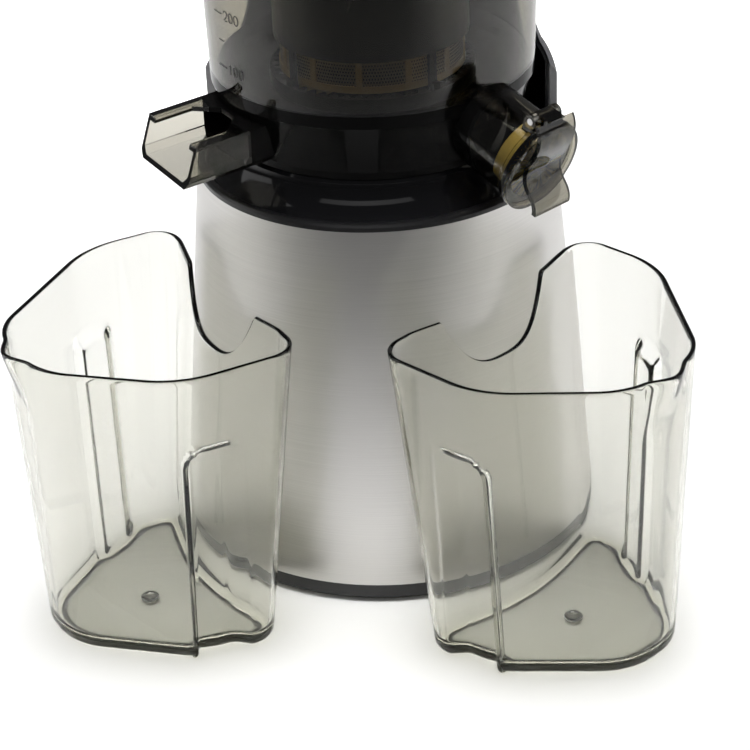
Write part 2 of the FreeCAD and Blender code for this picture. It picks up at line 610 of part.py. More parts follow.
def control_board():
    board = box(BOARD_X - BOARD_T, BOARD_X, -BOARD_HALF_W, BOARD_HALF_W, PLATE_Z, BOARD_TOP)
    relay = box(BOARD_X, BOARD_X + 14.2, -28, -12, BOARD_TOP - 42, BOARD_TOP - 28)
    capacitor = Part.makeCylinder(6, 13, V(BOARD_X, 2, BOARD_TOP - 32), V(1, 0, 0))
    sink = box(BOARD_X, BOARD_X + 10.2, 16, 30, BOARD_TOP - 44, BOARD_TOP - 18)
    chips = [box(BOARD_X, BOARD_X + 2.2, y, y + 6, BOARD_TOP - 14, BOARD_TOP - 8) for y in (-26, -14, -2, 10)]
    return fuse_all([board, relay, capacitor, sink] + chips)


# outer face of the switch, just proud of the shell where the shell reaches furthest under the rim
SWITCH_FACE = base_radius(SWITCH_Z - SWITCH_HALF_H - 1.5) + 0.4


def switch_housing():
    face_y = SWITCH_FACE
    depth = face_y - 16
    half_w, half_h = SWITCH_HALF_W, SWITCH_HALF_H
    block = box(-half_w + CLEAR, half_w - CLEAR, depth, face_y,
                SWITCH_Z - half_h + CLEAR, SWITCH_Z + half_h - CLEAR)
    room = box(-ROCKER_W / 2 - CLEAR, ROCKER_W / 2 + CLEAR, face_y - 11, face_y + 1,
               SWITCH_Z - ROCKER_H / 2 - ROCKER_PLAY, SWITCH_Z + ROCKER_H / 2 + ROCKER_PLAY)
    side = ROCKER_W / 2 + CLEAR
    pivots = [Part.makeCylinder(ROCKER_PIVOT_R, 1.0 + CLEAR, V(s * side, face_y - 5, SWITCH_Z), V(-s, 0, 0))
              for s in (-1, 1)]
    rim = box(-half_w - 1.5, half_w + 1.5, face_y, face_y + 1.6,
              SWITCH_Z - half_h - 1.5, SWITCH_Z + half_h + 1.5)
    rim = rim.cut(box(-half_w + 2, half_w - 2, face_y - 1, face_y + 3, SWITCH_Z - half_h + 2,
                      SWITCH_Z + half_h - 2))
    return fuse_all([block.cut(room), rim] + pivots)


def switch_rocker():
    """Three-position rocker: forward, off, reverse. Its rest position is off, in the middle."""
    face_y = SWITCH_FACE
    half = ROCKER_H / 2
    profile = [V(-ROCKER_W / 2, face_y - 7, SWITCH_Z - 4), V(-ROCKER_W / 2, face_y - 1, SWITCH_Z - half),
               V(-ROCKER_W / 2, face_y + 3.4, SWITCH_Z - half), V(-ROCKER_W / 2, face_y + 1.4, SWITCH_Z),
               V(-ROCKER_W / 2, face_y + 3.4, SWITCH_Z + half), V(-ROCKER_W / 2, face_y - 1, SWITCH_Z + half),
               V(-ROCKER_W / 2, face_y - 7, SWITCH_Z + 4)]
    rocker = Part.Face(polygon(profile)).extrude(V(ROCKER_W, 0, 0))
    axle = Part.makeCylinder(ROCKER_PIVOT_R + RUN, ROCKER_W + 2, V(-ROCKER_W / 2 - 1, face_y - 5, SWITCH_Z),
                             V(1, 0, 0))
    return rocker.cut(axle)


def cord_inlet():
    """Rubber-lined collar that the mains cord enters by."""
    wall = sqrt(base_radius(CORD_Z) ** 2 - GLAND_R ** 2)
    y_axis = V(0, 1, 0)
    barrel = Part.makeCylinder(GLAND_R - CLEAR, 13, V(0, wall - 8, CORD_Z), y_axis)
    flange_r = GLAND_R + 1.8
    flange = Part.makeCylinder(flange_r, 2.5, V(0, base_radius(CORD_Z - flange_r) + 0.1, CORD_Z), y_axis)
    nut = Part.makeCylinder(GLAND_R + 1.8, 2.5, V(0, wall - 7, CORD_Z), y_axis)
    hole = Part.makeCylinder(CORD_R, 40, V(0, wall - 20, CORD_Z), y_axis)
    return fuse_all([barrel, flange, nut]).cut(hole)


# ---- bowl ----
GEAR_Z = BOWL_FLOOR + GEAR_LIFT
SKIRT_Z = DOME_Z + SKIRT_GAP
SEAL_R = DRIVE_R + 2.6


def bowl_radius(z):
    """Outer radius of the bowl's wall above its floor."""
    share = (z - BOWL_FLOOR - 4) / (BOWL_TOP - RIM_H - BOWL_FLOOR - 4)
    return BOWL_R + (BOWL_TOP_R - BOWL_R) * share


def bowl_outline(inset):
    """Outer profile of the skirt and wall, moved in by a wall thickness."""
    bend = [V(SKIRT_R - inset, 0, SKIRT_Z + 3), V(SKIRT_R + 1.6 - inset, 0, SKIRT_Z + 13),
            V(BOWL_R - inset, 0, BOWL_FLOOR + 4)]
    return bend, Part.Arc(*bend).toShape()


def turn_wire(edges):
    wire = Part.Wire(Part.__sortEdges__(edges))
    return Part.Face(wire).revolve(V(0, 0, 0), Z, 360)


def lines(points):
    return Part.makePolygon(points).Edges


def bowl_blank():
    """Bowl as if it were solid, with its rim flange."""
    bend, arc = bowl_outline(0.0)
    flange_z = BOWL_TOP - RIM_H
    right = lines([bend[2], V(BOWL_TOP_R, 0, flange_z), V(RIM_R, 0, flange_z + 1.2), V(RIM_R, 0, BOWL_TOP),
                   V(0, 0, BOWL_TOP), V(0, 0, SKIRT_Z), V(SKIRT_R, 0, SKIRT_Z), bend[0]])
    return turn_wire([arc] + right)


def bowl_inside():
    """Room above the floor, narrowed by the ledge that carries the strainer."""
    low_r = bowl_radius(BOWL_FLOOR + 4) - BOWL_T
    top_r = bowl_radius(BOWL_TOP) - BOWL_T
    ledge_r = bowl_radius(LEDGE_Z) - BOWL_T
    return revolve([(0, BOWL_FLOOR), (low_r - 3, BOWL_FLOOR), (low_r - 0.8, BOWL_FLOOR + 1),
                    (low_r, BOWL_FLOOR + 4), (ledge_r, LEDGE_Z - 6), (ledge_r - LEDGE_W, LEDGE_Z - 2.4),
                    (ledge_r - LEDGE_W, LEDGE_Z), (ledge_r, LEDGE_Z), (top_r, BOWL_TOP + 1),
                    (0, BOWL_TOP + 1)])


def skirt_inside():
    bend, arc = bowl_outline(BOWL_T)
    ceiling = BOWL_FLOOR - BOWL_FLOOR_T
    flat = lines([bend[0], V(SKIRT_R - BOWL_T, 0, SKIRT_Z - 1), V(0, 0, SKIRT_Z - 1),
                  V(0, 0, BOWL_FLOOR + 10), V(BOWL_R - BOWL_T, 0, BOWL_FLOOR + 10), bend[2]])
    return turn_wire([arc] + flat).common(cyl(FAR, SKIRT_Z - 2, ceiling))


JUICE_DIR = V(sin(radians(JUICE_AZ)) * cos(radians(JUICE_SLOPE)),
              -cos(radians(JUICE_AZ)) * cos(radians(JUICE_SLOPE)), -sin(radians(JUICE_SLOPE)))
JUICE_SIDE = V(cos(radians(JUICE_AZ)), sin(radians(JUICE_AZ)), 0)
JUICE_UP = JUICE_DIR.cross(JUICE_SIDE)


def juice_place(shape):
    """Move a shape built on the local frame (out, side, up) to the end of the juice spout."""
    origin = V(0, 0, JUICE_Z) + JUICE_DIR * JUICE_END
    matrix = FreeCAD.Matrix(JUICE_DIR.x, JUICE_SIDE.x, JUICE_UP.x, origin.x,
                            JUICE_DIR.y, JUICE_SIDE.y, JUICE_UP.y, origin.y,
                            JUICE_DIR.z, JUICE_SIDE.z, JUICE_UP.z, origin.z,
                            0, 0, 0, 1)
    copy = shape.copy()
    copy.Placement = FreeCAD.Placement(matrix).multiply(copy.Placement)
    return copy


def axial(r, a0, a1):
    """Cylinder along the local 'out' axis."""
    return Part.makeCylinder(r, a1 - a0, V(a0, 0, 0), V(1, 0, 0))


def juice_tube():
    reach = JUICE_END - RING_R + 4
    tube_solid = axial(JUICE_R, -reach, 0)
    collar = axial(JUICE_R + 0.9, -2.2, 0)
    ears = []
    for side in (-1, 1):
        low = side * (KNUCKLE_W / 2 + CLEAR)
        high = side * (KNUCKLE_W / 2 + CLEAR + EAR_T)
        y0, y1 = min(low, high), max(low, high)
        ears.append(box(-HINGE_BACK - 3, -HINGE_BACK + 2.4, y0, y1, JUICE_R - 3, HINGE_H))
        ears.append(Part.makeCylinder(KNUCKLE_R, y1 - y0, V(-HINGE_BACK, y0, HINGE_H), V(0, 1, 0)))
    pin_hole = Part.makeCylinder(PIN_R, 40, V(-HINGE_BACK, -20, HINGE_H), V(0, 1, 0))
    return juice_place(fuse_all([tube_solid, collar] + ears).cut(pin_hole))


def pulp_section(inset, low, high):
    """Cross-section of the pulp channel as (width, height) corners, bevelled at its lower edges."""
    half = PULP_W / 2 - inset
    bevel = 3.0
    return [(-half + bevel, low), (half - bevel, low), (half, low + bevel), (half, high), (-half, high),
            (-half, low + bevel)]


def pulp_prism(inset, low, high, r0, r1):
    """Channel prism from radius r0 to r1, falling outwards."""
    def lift(r):
        return PULP_Z + (PULP_END - r) * tan(radians(PULP_SLOPE))
    section = pulp_section(inset, low, high)
    wires = [polygon([V(r, w, lift(r) + h) for w, h in section]) for r in (r0, r1)]
    return turned(Part.makeLoft(wires, True, True), PULP_AZ)


def pulp_end_cut():
    """What is cut off to slant the end of the channel back at its top."""
    corners = [(PULP_END, PULP_Z - 5), (PULP_END, PULP_Z), (PULP_END - PULP_SLANT, PULP_Z + PULP_H),
               (PULP_END - PULP_SLANT - 2, PULP_Z + PULP_H + 10), (PULP_END + 30, PULP_Z + PULP_H + 10),
               (PULP_END + 30, PULP_Z - 5)]
    face = Part.Face(polygon([V(r, -40, z) for r, z in corners]))
    return turned(face.extrude(V(0, 80, 0)), PULP_AZ)


def pulp_slot():
    """Opening in the channel's top, from its end inwards, with a pointed inner end."""
    half = PULP_W / 2 - PULP_LIP
    r1 = PULP_END - PULP_SLANT + 4
    r0 = r1 - PULP_SLOT
    corners = [(r1, -half), (r1, half), (r0 + 9, half), (r0, half - 10), (r0, -half + 10), (r0 + 9, -half)]
    face = Part.Face(polygon([V(r, y, PULP_Z + PULP_H - 5) for r, y in corners]))
    return turned(face.extrude(V(0, 0, 20)), PULP_AZ)


def juicing_bowl():
    inside = bowl_inside()
    blank = bowl_blank().cut(inside).cut(skirt_inside())
    keep_out = revolve([(0, SKIRT_Z - 30), (BOWL_R - BOWL_T, SKIRT_Z - 30), (BOWL_R - BOWL_T, BOWL_FLOOR),
                        (0, BOWL_FLOOR)])
    chamber = inside.fuse(keep_out)
    tube_out = juice_tube().cut(chamber)
    channel_r = IDLER_A - PULP_HOLE_R - 0.9
    channel = pulp_prism(0.0, 0.0, PULP_H, channel_r, PULP_END + 8).cut(pulp_end_cut())
    above = cyl(FAR, BOWL_FLOOR, BOWL_TOP).cut(cyl(BOWL_R - BOWL_T / 2, 0, FAR))
    channel = channel.common(cyl(FAR, 0, BOWL_FLOOR).fuse(above))
    hub = tube(SEAL_R + 4, SEAL_R, BOWL_FLOOR - BOWL_FLOOR_T - 4, BOWL_FLOOR)
    idler_post = polar(IDLER_A, IDLER_AZ)
    boss = cyl(5, BOWL_FLOOR - 6, BOWL_FLOOR, idler_post.x, idler_post.y)
    body = fuse_all([blank, tube_out, channel, hub, boss])
    bore = juice_place(axial(JUICE_BORE, RING_R - 4 - JUICE_END, 1)).cut(keep_out)
    duct = pulp_prism(PULP_WALL, PULP_WALL, PULP_H - PULP_WALL, channel_r + PULP_WALL, PULP_END + 9)
    ceiling = BOWL_FLOOR - BOWL_FLOOR_T
    duct = duct.common(cyl(BOWL_R, 0, ceiling)).fuse(duct.cut(cyl(BOWL_R, 0, FAR)))
    outlet = polar(IDLER_A, PULP_AZ)
    cuts = [bore, duct, pulp_slot(), cyl(SEAL_R, DOME_Z - 20, BOWL_FLOOR + 1),
            cyl(PULP_HOLE_R, BOWL_FLOOR - BOWL_FLOOR_T - 3, BOWL_FLOOR + 1, outlet.x, outlet.y),
            cyl(IDLER_PIN_R, BOWL_FLOOR - 5, BOWL_FLOOR + 1, idler_post.x, idler_post.y)]
    for cut in cuts:
        body = body.cut(cut)
    return body


def hub_seal():
    """Silicone packing pressed into the hub of the bowl."""
    z0 = BOWL_FLOOR - BOWL_FLOOR_T - 4
    lip_r, side_r = DRIVE_R + 0.35, SEAL_R - 0.02
    return revolve([(lip_r, z0 - 2), (SEAL_R + 2.5, z0 - 2), (SEAL_R + 2.5, z0 - 0.02), (side_r, z0 - 0.02),
                    (side_r, BOWL_FLOOR + 1.6), (DRIVE_R + 1.6, BOWL_FLOOR + 1.6), (lip_r, BOWL_FLOOR)])


def idler_pin():
    p = polar(IDLER_A, IDLER_AZ)
    return cyl(IDLER_PIN_R, BOWL_FLOOR - 5, GEAR_Z + GEAR_H, p.x, p.y)


def idler_gear():
    p = polar(IDLER_A, IDLER_AZ)
    line = radians(IDLER_AZ - 90)
    # a gap faces the sun's tooth, and with an even count a gap faces the ring as well
    gear = involute_gear(IDLER_TEETH, GEAR_M, GEAR_Z, GEAR_H, IDLER_PIN_R + RUN,
                         phase=line + pi + pi / IDLER_TEETH)
    gear.translate(V(p.x, p.y, 0))
    return gear


def cap_hinge_pin():
    half = KNUCKLE_W / 2 + CLEAR + EAR_T
    pin = Part.makeCylinder(PIN_R - 0.02, 2 * half, V(-HINGE_BACK, -half, HINGE_H), V(0, 1, 0))
    return juice_place(pin)


def strainer_frame():
    """Frame that holds the mesh: two rings, ribs, a floor with the pulp outlet, and the top flange."""
    low = GEAR_Z + GEAR_H + 1.0
    wall = [tube(STRAINER_R, STRAINER_IN_R, z0, z1) for z0, z1 in ((low, low + 3), (LEDGE_Z - 8, LEDGE_Z))]
    floor = tube(STRAINER_R, SUN_R + 0.8 * GEAR_M + 0.5, low, low + 2)
    rib = box(STRAINER_IN_R + MESH_T, STRAINER_R - 0.02, -1.4, 1.4, low, LEDGE_Z - 1)
    ribs = [turned(rib, 360.0 * k / STRAINER_RIBS) for k in range(STRAINER_RIBS)]
    flange_r = bowl_radius(LEDGE_Z) - BOWL_T - CLEAR
    flange = tube(flange_r, STRAINER_IN_R, LEDGE_Z, LEDGE_Z + 2)
    outlet = polar(IDLER_A, PULP_AZ)
    spout = cyl(PULP_HOLE_R + 1.3, BOWL_FLOOR + CLEAR, low + 2, outlet.x, outlet.y)
    frame = fuse_all(wall + [floor, flange, spout] + ribs)
    return frame.cut(cyl(PULP_HOLE_R, BOWL_FLOOR - 1, low + 3, outlet.x, outlet.y))


def strainer_mesh():
    low = GEAR_Z + GEAR_H + 1.0
    return tube(STRAINER_IN_R + MESH_T, STRAINER_IN_R, low + 3, LEDGE_Z - 8)


def brush_frame():
    """Sleeve that turns round the strainer, with its ring gear, four legs and windows for the blades."""
    line = radians(IDLER_AZ - 90)
    ring = involute_gear(RING_TEETH, GEAR_M, GEAR_Z, GEAR_H, 0, RING_R, phase=line + pi / RING_TEETH)
    sleeve = tube(SLEEVE_R, SLEEVE_IN_R, SLEEVE_Z, SLEEVE_TOP)
    # inside the ring's height the legs stay outside its teeth, where the idler runs
    tooth_room = cyl(RING_PITCH_R + 1.05 * GEAR_M + 0.2, 0, GEAR_Z + GEAR_H + CLEAR)
    trim = fuse_all([cyl(SLEEVE_IN_R, 0, FAR), tooth_room, tube(RING_R, SLEEVE_R, GEAR_Z + GEAR_H + 3, FAR)])
    leg = box(0, RING_R - 0.4, -1.8, 1.8, GEAR_Z + GEAR_H / 2, SLEEVE_Z + 2).cut(trim)
    legs = [turned(leg, 45 + 90 * k) for k in range(4)]
    half = WINDOW_W / 2
    window = box(0, FAR, -half, half, WINDOW_Z, WINDOW_Z + WINDOW_H)
    windows = [turned(window, 360.0 * k / WINDOWS) for k in range(WINDOWS)]
    return fuse_all([ring, sleeve] + legs).cut(Part.makeCompound(windows))


def brush_blades():
    """Silicone wipers that sweep the mesh and the bowl, one in each window."""
    z0, z1 = WINDOW_Z + CLEAR, WINDOW_Z + WINDOW_H - CLEAR
    half = WINDOW_W / 2 - CLEAR
    tip_r = bowl_radius(WINDOW_Z) - BOWL_T - BLADE_GAP
    post = box(STRAINER_R + 0.35, tip_r, -1.0, 1.0, z0, z1)
    pad = box(0, SLEEVE_R, -half, half, z0, z1).common(tube(SLEEVE_R, SLEEVE_IN_R, z0, z1))
    blades = [turned(pad.fuse(post), 360.0 * k / WINDOWS) for k in range(WINDOWS)]
    return Part.makeCompound(blades)


# ---- auger ----
def auger_core_radius(z):
    """Core that narrows from the strainer's floor to a little over the pin's radius."""
    low, high = GEAR_Z + GEAR_H + 2, AUGER_TOP
    wide, narrow = AUGER_R - 7.4, AUGER_PIN_R + 6.0
    return wide - (wide - narrow) * ((z - low) / (high - low)) ** 0.8


def auger_flight(start, turns, pitch, z0, r_in, r_out, thick):
    """Screw flight lofted through sections that climb round the axis."""
    step = 15
    sections = []
    for k in range(int(turns * 360 / step) + 1):
        rise = z0 + pitch * step * k / 360
        corners = [(r_in, 0), (r_out, thick * 0.35), (r_out, thick * 0.65), (r_in, thick)]
        section = polygon([V(r, 0, rise + h) for r, h in corners])
        section.rotate(V(0, 0, 0), Z, start + step * k)
        sections.append(section)
    return Part.makeLoft(sections, True, True)


def auger():
    low = GEAR_Z + GEAR_H
    levels = [low + 2 + (AUGER_TOP - low - 2) * k / 8 for k in range(9)]
    neck = SUN_R + 0.8 * GEAR_M + 0.1
    waist = SUN_R - 1.05 * GEAR_M
    pin_top = AUGER_TOP + AUGER_PIN_H
    profile = [(0, low - 0.5), (waist, low - 0.5), (waist, low + CLEAR)]
    profile += [(neck, low + CLEAR), (neck, low + 3.6)]
    profile += [(auger_core_radius(z), z) for z in levels if z > low + 3.6]
    profile += [(AUGER_PIN_R, AUGER_TOP), (AUGER_PIN_R, pin_top), (0, pin_top)]
    core = revolve(profile)
    sun = involute_gear(SUN_TEETH, GEAR_M, GEAR_Z, GEAR_H, 2, phase=radians(IDLER_AZ - 90))
    first = low + 8
    pitch = (AUGER_TOP - first - FLIGHT_T - 5.5) / FLIGHT_TURNS
    root = AUGER_PIN_R + 5
    flights = [auger_flight(180 * k, FLIGHT_TURNS, pitch, first, root, AUGER_R, FLIGHT_T) for k in range(2)]
    socket = hexagon(HEX_AF + 2 * CLEAR, GEAR_Z - 1, HEX_TOP + 1)
    pocket = cyl(SEAL_R + 0.7, GEAR_Z - 1, BOWL_FLOOR + 2.2)
    body = fuse_all([core, sun] + flights)
    return body.cut(socket).cut(pocket)


# ---- spout cap ----
def cap_lever():
    """S-shaped thumb lever in the (out, up) plane, extruded across its width."""
    out, up = CAP_T + 0.2, HINGE_H
    line = [V(out + 0.2, 0, up + 2.0), V(out + 3.4, 0, up - 4.0), V(out + 2.6, 0, up - 13.0),
            V(out + 1.2, 0, up - 21.0), V(out + 3.6, 0, up - 27.0), V(out + 8.5, 0, up - 31.0),
            V(out + 11.0, 0, up - 36.5)]
    curve = Part.BSplineCurve()
    curve.interpolate(line)
    steps = 18
    first, last = curve.FirstParameter, curve.LastParameter
    left, right = [], []
    for k in range(steps + 1):
        t = first + (last - first) * k / steps
        point, along = curve.value(t), curve.tangent(t)[0]
        normal = V(-along.z, 0, along.x) * (LEVER_T / 2)
        left.append(point + normal)
        right.append(point - normal)
    sides = []
    for row in (left, right):
        side = Part.BSplineCurve()
        side.interpolate(row)
        sides.append(side.toShape())
    ends = [Part.LineSegment(left[0], right[0]).toShape(), Part.LineSegment(left[-1], right[-1]).toShape()]
    face = Part.Face(Part.Wire(Part.__sortEdges__(sides + ends)))
    sheet = face.extrude(V(0, LEVER_W, 0))
    sheet.translate(V(0, -LEVER_W / 2, 0))
    return sheet


def spout_cap():
    disc = axial(CAP_R, CLEAR, CLEAR + CAP_T)
    rim = axial(CAP_R, CLEAR, CLEAR + CAP_T + 1.4).cut(axial(CAP_R - 1.6, CLEAR + CAP_T, CLEAR + CAP_T + 2))
    arm = box(-HINGE_BACK, CAP_T + 1.6, -KNUCKLE_W / 2, KNUCKLE_W / 2, HINGE_H - 0.2, HINGE_H + KNUCKLE_R)
    knuckle = Part.makeCylinder(KNUCKLE_R, KNUCKLE_W, V(-HINGE_BACK, -KNUCKLE_W / 2, HINGE_H), V(0, 1, 0))
    neck = box(CLEAR, CLEAR + CAP_T, -KNUCKLE_W / 2, KNUCKLE_W / 2, CAP_R - 3, HINGE_H + KNUCKLE_R)
    boss = axial(PLUG_STEM_R, -1.0, CLEAR + 0.1)
    body = fuse_all([disc, rim, cap_lever(), arm, knuckle, neck, boss])
    hole = Part.makeCylinder(PIN_R + RUN, 40, V(-HINGE_BACK, -20, HINGE_H), V(0, 1, 0))
    return juice_place(body.cut(hole))


def cap_plug():
    """Amber silicone cup on the back of the cap; it tapers so that it swings out of the bore."""
    face = JUICE_BORE - 0.4
    solid = Part.makeCone(face - 1.2, face, PLUG_L, V(-PLUG_L, 0, 0), V(1, 0, 0))
    flange = axial(face, 0, CLEAR)
    hollow = axial(face - 3.4, -PLUG_L - 1, -2.0)
    socket = axial(PLUG_STEM_R, -1.0, CLEAR + 1)
    return juice_place(solid.fuse(flange).cut(hollow).cut(socket))


# ---- lid and pusher ----
LID_Z = BOWL_TOP + CLEAR
SPIGOT_R = BOWL_TOP_R - BOWL_T - 2.6
NOSE_R = AUGER_PIN_R + 3.4


def lid():
    crown = LID_Z + 4
    top = crown + CROWN_H
    chute_out = CHUTE_R + LID_T
    slope_r, flat_r = LID_R - 15.2, CHUTE_R - CHUTE_Y + 7
    room_r = SPIGOT_R - 2
    outer = revolve([(0, LID_Z), (RIM_R + CLEAR, LID_Z), (RIM_R + CLEAR, LID_Z - LID_SKIRT),
                     (LID_R, LID_Z - LID_SKIRT), (LID_R, crown - 1), (LID_R - 1.5, crown + 1),
                     (slope_r, crown + CROWN_H / 2), (flat_r, top), (0, top)])
    hollow = revolve([(0, LID_Z - 1), (room_r, LID_Z - 1), (room_r, crown),
                      (slope_r - 2, crown + CROWN_H / 2 - 2.6), (flat_r - 1, top - LID_T), (0, top - LID_T)])
    spigot = tube(SPIGOT_R, room_r, LID_Z - 4.2, LID_Z + 1)
    chute = cyl(chute_out, top - 4, CHUTE_TOP, 0, CHUTE_Y)
    brim = Part.makeCone(chute_out, chute_out + 5, 6, V(0, CHUTE_Y, CHUTE_TOP - 6))
    body = fuse_all([outer.cut(hollow), spigot, chute, brim])
    body = body.cut(cyl(CHUTE_R, LID_Z - 1, CHUTE_TOP + 1, 0, CHUTE_Y))
    nose_z = AUGER_TOP + 2
    nose = cyl(NOSE_R, nose_z, top - 0.5)
    web = box(-1.5, 1.5, 0, flat_r - 6, nose_z + 6, top - 1)
    bush_hole = cyl(AUGER_PIN_R + 1.6, nose_z - 1, AUGER_TOP + AUGER_PIN_H + 1)
    return fuse_all([body, nose, web]).cut(bush_hole)


def lid_bush():
    return tube(AUGER_PIN_R + 1.58, AUGER_PIN_R + RUN, AUGER_TOP + 2, AUGER_TOP + AUGER_PIN_H)


def lid_seal():
    """Silicone ring round the lid's spigot."""
    z0 = LID_Z - 4.0
    return tube(SPIGOT_R + 2.2, SPIGOT_R, z0, z0 + 3.6)


def pusher():
    r = CHUTE_R - CLEAR
    outer = cyl(r, PUSHER_END, CHUTE_TOP + CLEAR + 2, 0, CHUTE_Y)
    return outer.cut(cyl(r - PUSHER_T, PUSHER_END + PUSHER_T, CHUTE_TOP + 20, 0, CHUTE_Y))


def pusher_cap():
    z0 = CHUTE_TOP + CLEAR
    r = CHUTE_R - CLEAR
    plate = cyl(PUSHER_CAP_R, z0 + 2, z0 + 7, 0, CHUTE_Y)
    rim = tube(PUSHER_CAP_R, r, z0, z0 + 2, 0, CHUTE_Y)
    plug = cyl(r - PUSHER_T, z0 - 6, z0 + 2, 0, CHUTE_Y)
    grip = Part.makeCone(PUSHER_CAP_R - 14, PUSHER_CAP_R - 10, PUSHER_TOP - z0 - 7, V(0, CHUTE_Y, z0 + 7))
    return fuse_all([plate, rim, plug, grip])


# ---- cups ----
CUP_IN_BASE = BASE_R + CUP_GAP
CUP_IN_RIM = base_radius(CUP_H) + CUP_GAP + 0.2


def rounded_wire(corners, inset, z):
    """Closed outline of lines and tangent arcs, moved in by an inset, at a height."""
    count = len(corners)
    moved = []
    for k in range(count):
        a, b, c = corners[k - 1], corners[k], corners[(k + 1) % count]
        d1 = V(b[0] - a[0], b[1] - a[1], 0).normalize()
        d2 = V(c[0] - b[0], c[1] - b[1], 0).normalize()
        n1, n2 = V(-d1.y, d1.x, 0), V(-d2.y, d2.x, 0)
        shift = (n1 + n2) * (inset / (1 + n1.dot(n2)))
        moved.append((V(b[0], b[1], z) + shift, max(b[2] - inset, 1.0), d1, d2))
    edges = []
    for k in range(count):
        p, r, d1, d2 = moved[k]
        q, s, e1, e2 = moved[(k + 1) % count]
        cut = r * tan(d1.getAngle(d2) / 2)
        next_cut = s * tan(e1.getAngle(e2) / 2)
        start, end = p - d1 * cut, p + d2 * cut
        centre = start + V(-d1.y, d1.x, 0) * r
        middle = centre + (p - centre).normalize() * r
        edges.append(Part.Arc(start, middle, end).toShape())
        edges.append(Part.LineSegment(end, q - e1 * next_cut).toShape())
    return Part.Wire(edges)


def blend_corners(share):
    """Outline corners between the base (0) and the rim (1), with distances from the drive axis."""
    mixed = [[b + (t - b) * share for b, t in zip(low, high)] for low, high in zip(CUP_BASE, CUP_RIM)]
    wall = CUP_IN_BASE + (CUP_IN_RIM - CUP_IN_BASE) * share
    return [(wall + out, front, radius) for out, front, radius in mixed]


def cup_loft(inset, z0, z1):
    wires = [rounded_wire(blend_corners(z / CUP_H), inset, z) for z in (z0, z1)]
    return Part.makeLoft(wires, True, True)


def grip_blocks(grow):
    """Blocks that the two finger grips take out of the cup's outline."""
    front_side, back_side = CUP_BASE[4][1], CUP_BASE[1][1]
    lean = (CUP_RIM[4][1] - CUP_BASE[4][1]) * GRIP_H / CUP_H
    front = [(front_side - GRIP_DEPTH - grow, -2), (front_side + 60, -2), (front_side + 60, GRIP_H + grow),
             (front_side - GRIP_DEPTH - grow + lean, GRIP_H + grow)]
    back = [(back_side + GRIP_DEPTH + 5 + grow, -2), (back_side - 60, -2), (back_side - 60, GRIP_H + grow),
            (back_side + GRIP_DEPTH + 5 + grow - lean, GRIP_H + grow)]
    blocks = []
    reach = CUP_IN_RIM + GRIP_FRONT + grow
    start = CUP_IN_RIM + GRIP_BACK - grow
    for profile, u0, u1 in ((front, CUP_IN_RIM - 25, reach), (back, start, start + FAR)):
        face = Part.Face(polygon([V(u0, v, z) for v, z in profile]))
        blocks.append(face.extrude(V(u1 - u0, 0, 0)))
    return Part.makeCompound(blocks)


def lip_cone(inset):
    """Pouring lip: half a cone that swells out of the wall at the rim."""
    v = (CUP_RIM[2][1] + CUP_RIM[3][1]) / 2
    u = CUP_IN_RIM + CUP_RIM[2][0] - LIP_R + 4.0
    return Part.makeCone(1.2, LIP_R - inset, LIP_H, V(u, v, CUP_H - LIP_H))


def cup_cut():
    """U-shaped cut that lets the cup reach in under the spout."""
    low = CUP_H - CUT_DEPTH
    up = CUP_H + 5
    r = CUT_R
    k = r * (1 - sqrt(0.5))
    u = CUP_IN_RIM - 25
    path = [Part.LineSegment(V(u, CUT_FROM, up), V(u, CUT_FROM, low + r)),
            Part.Arc(V(u, CUT_FROM, low + r), V(u, CUT_FROM + k, low + k), V(u, CUT_FROM + r, low)),
            Part.LineSegment(V(u, CUT_FROM + r, low), V(u, CUT_TO - r, low)),
            Part.Arc(V(u, CUT_TO - r, low), V(u, CUT_TO - k, low + k), V(u, CUT_TO, low + r)),
            Part.LineSegment(V(u, CUT_TO, low + r), V(u, CUT_TO, up)),
            Part.LineSegment(V(u, CUT_TO, up), V(u, CUT_FROM, up))]
    return Part.Face(Part.Wire([g.toShape() for g in path])).extrude(V(45, 0, 0))


def cup():
    """Cup in its local plan (distance from the drive axis, offset to the front), turned into place."""
    outer = cup_loft(0.0, CUP_FOOT, CUP_H).cut(grip_blocks(0.0)).fuse(lip_cone(0.0))
    inner = cup_loft(CUP_T, CUP_FOOT + CUP_FLOOR, CUP_H + 0.01).cut(grip_blocks(CUP_T)).fuse(
        lip_cone(CUP_T))
    feet = [cyl(CUP_FOOT_R, 0, CUP_FOOT + 1, CUP_IN_BASE + out, front)
            for out, front in ((14, -12), (68, 20), (42, 62), (14, 62))]
    inside_z = CUP_FOOT + CUP_FLOOR
    nub = cyl(4, inside_z - 0.5, inside_z + 1.2, CUP_IN_BASE + 39, 28)
    body = outer.cut(inner).cut(cup_cut())
    body = fuse_all([body, nub] + feet)
    rim = [e for e in body.Edges if e.BoundBox.ZMin > CUP_H - 0.02 and e.Length > CUP_T + 1]
    # the turn takes the local +Y, the offset to the front, towards -Y
    return turned(body.makeFillet(RIM_ROUND, rim), CUP_AZ)


# ---- build ----
os.makedirs("parts", exist_ok=True)

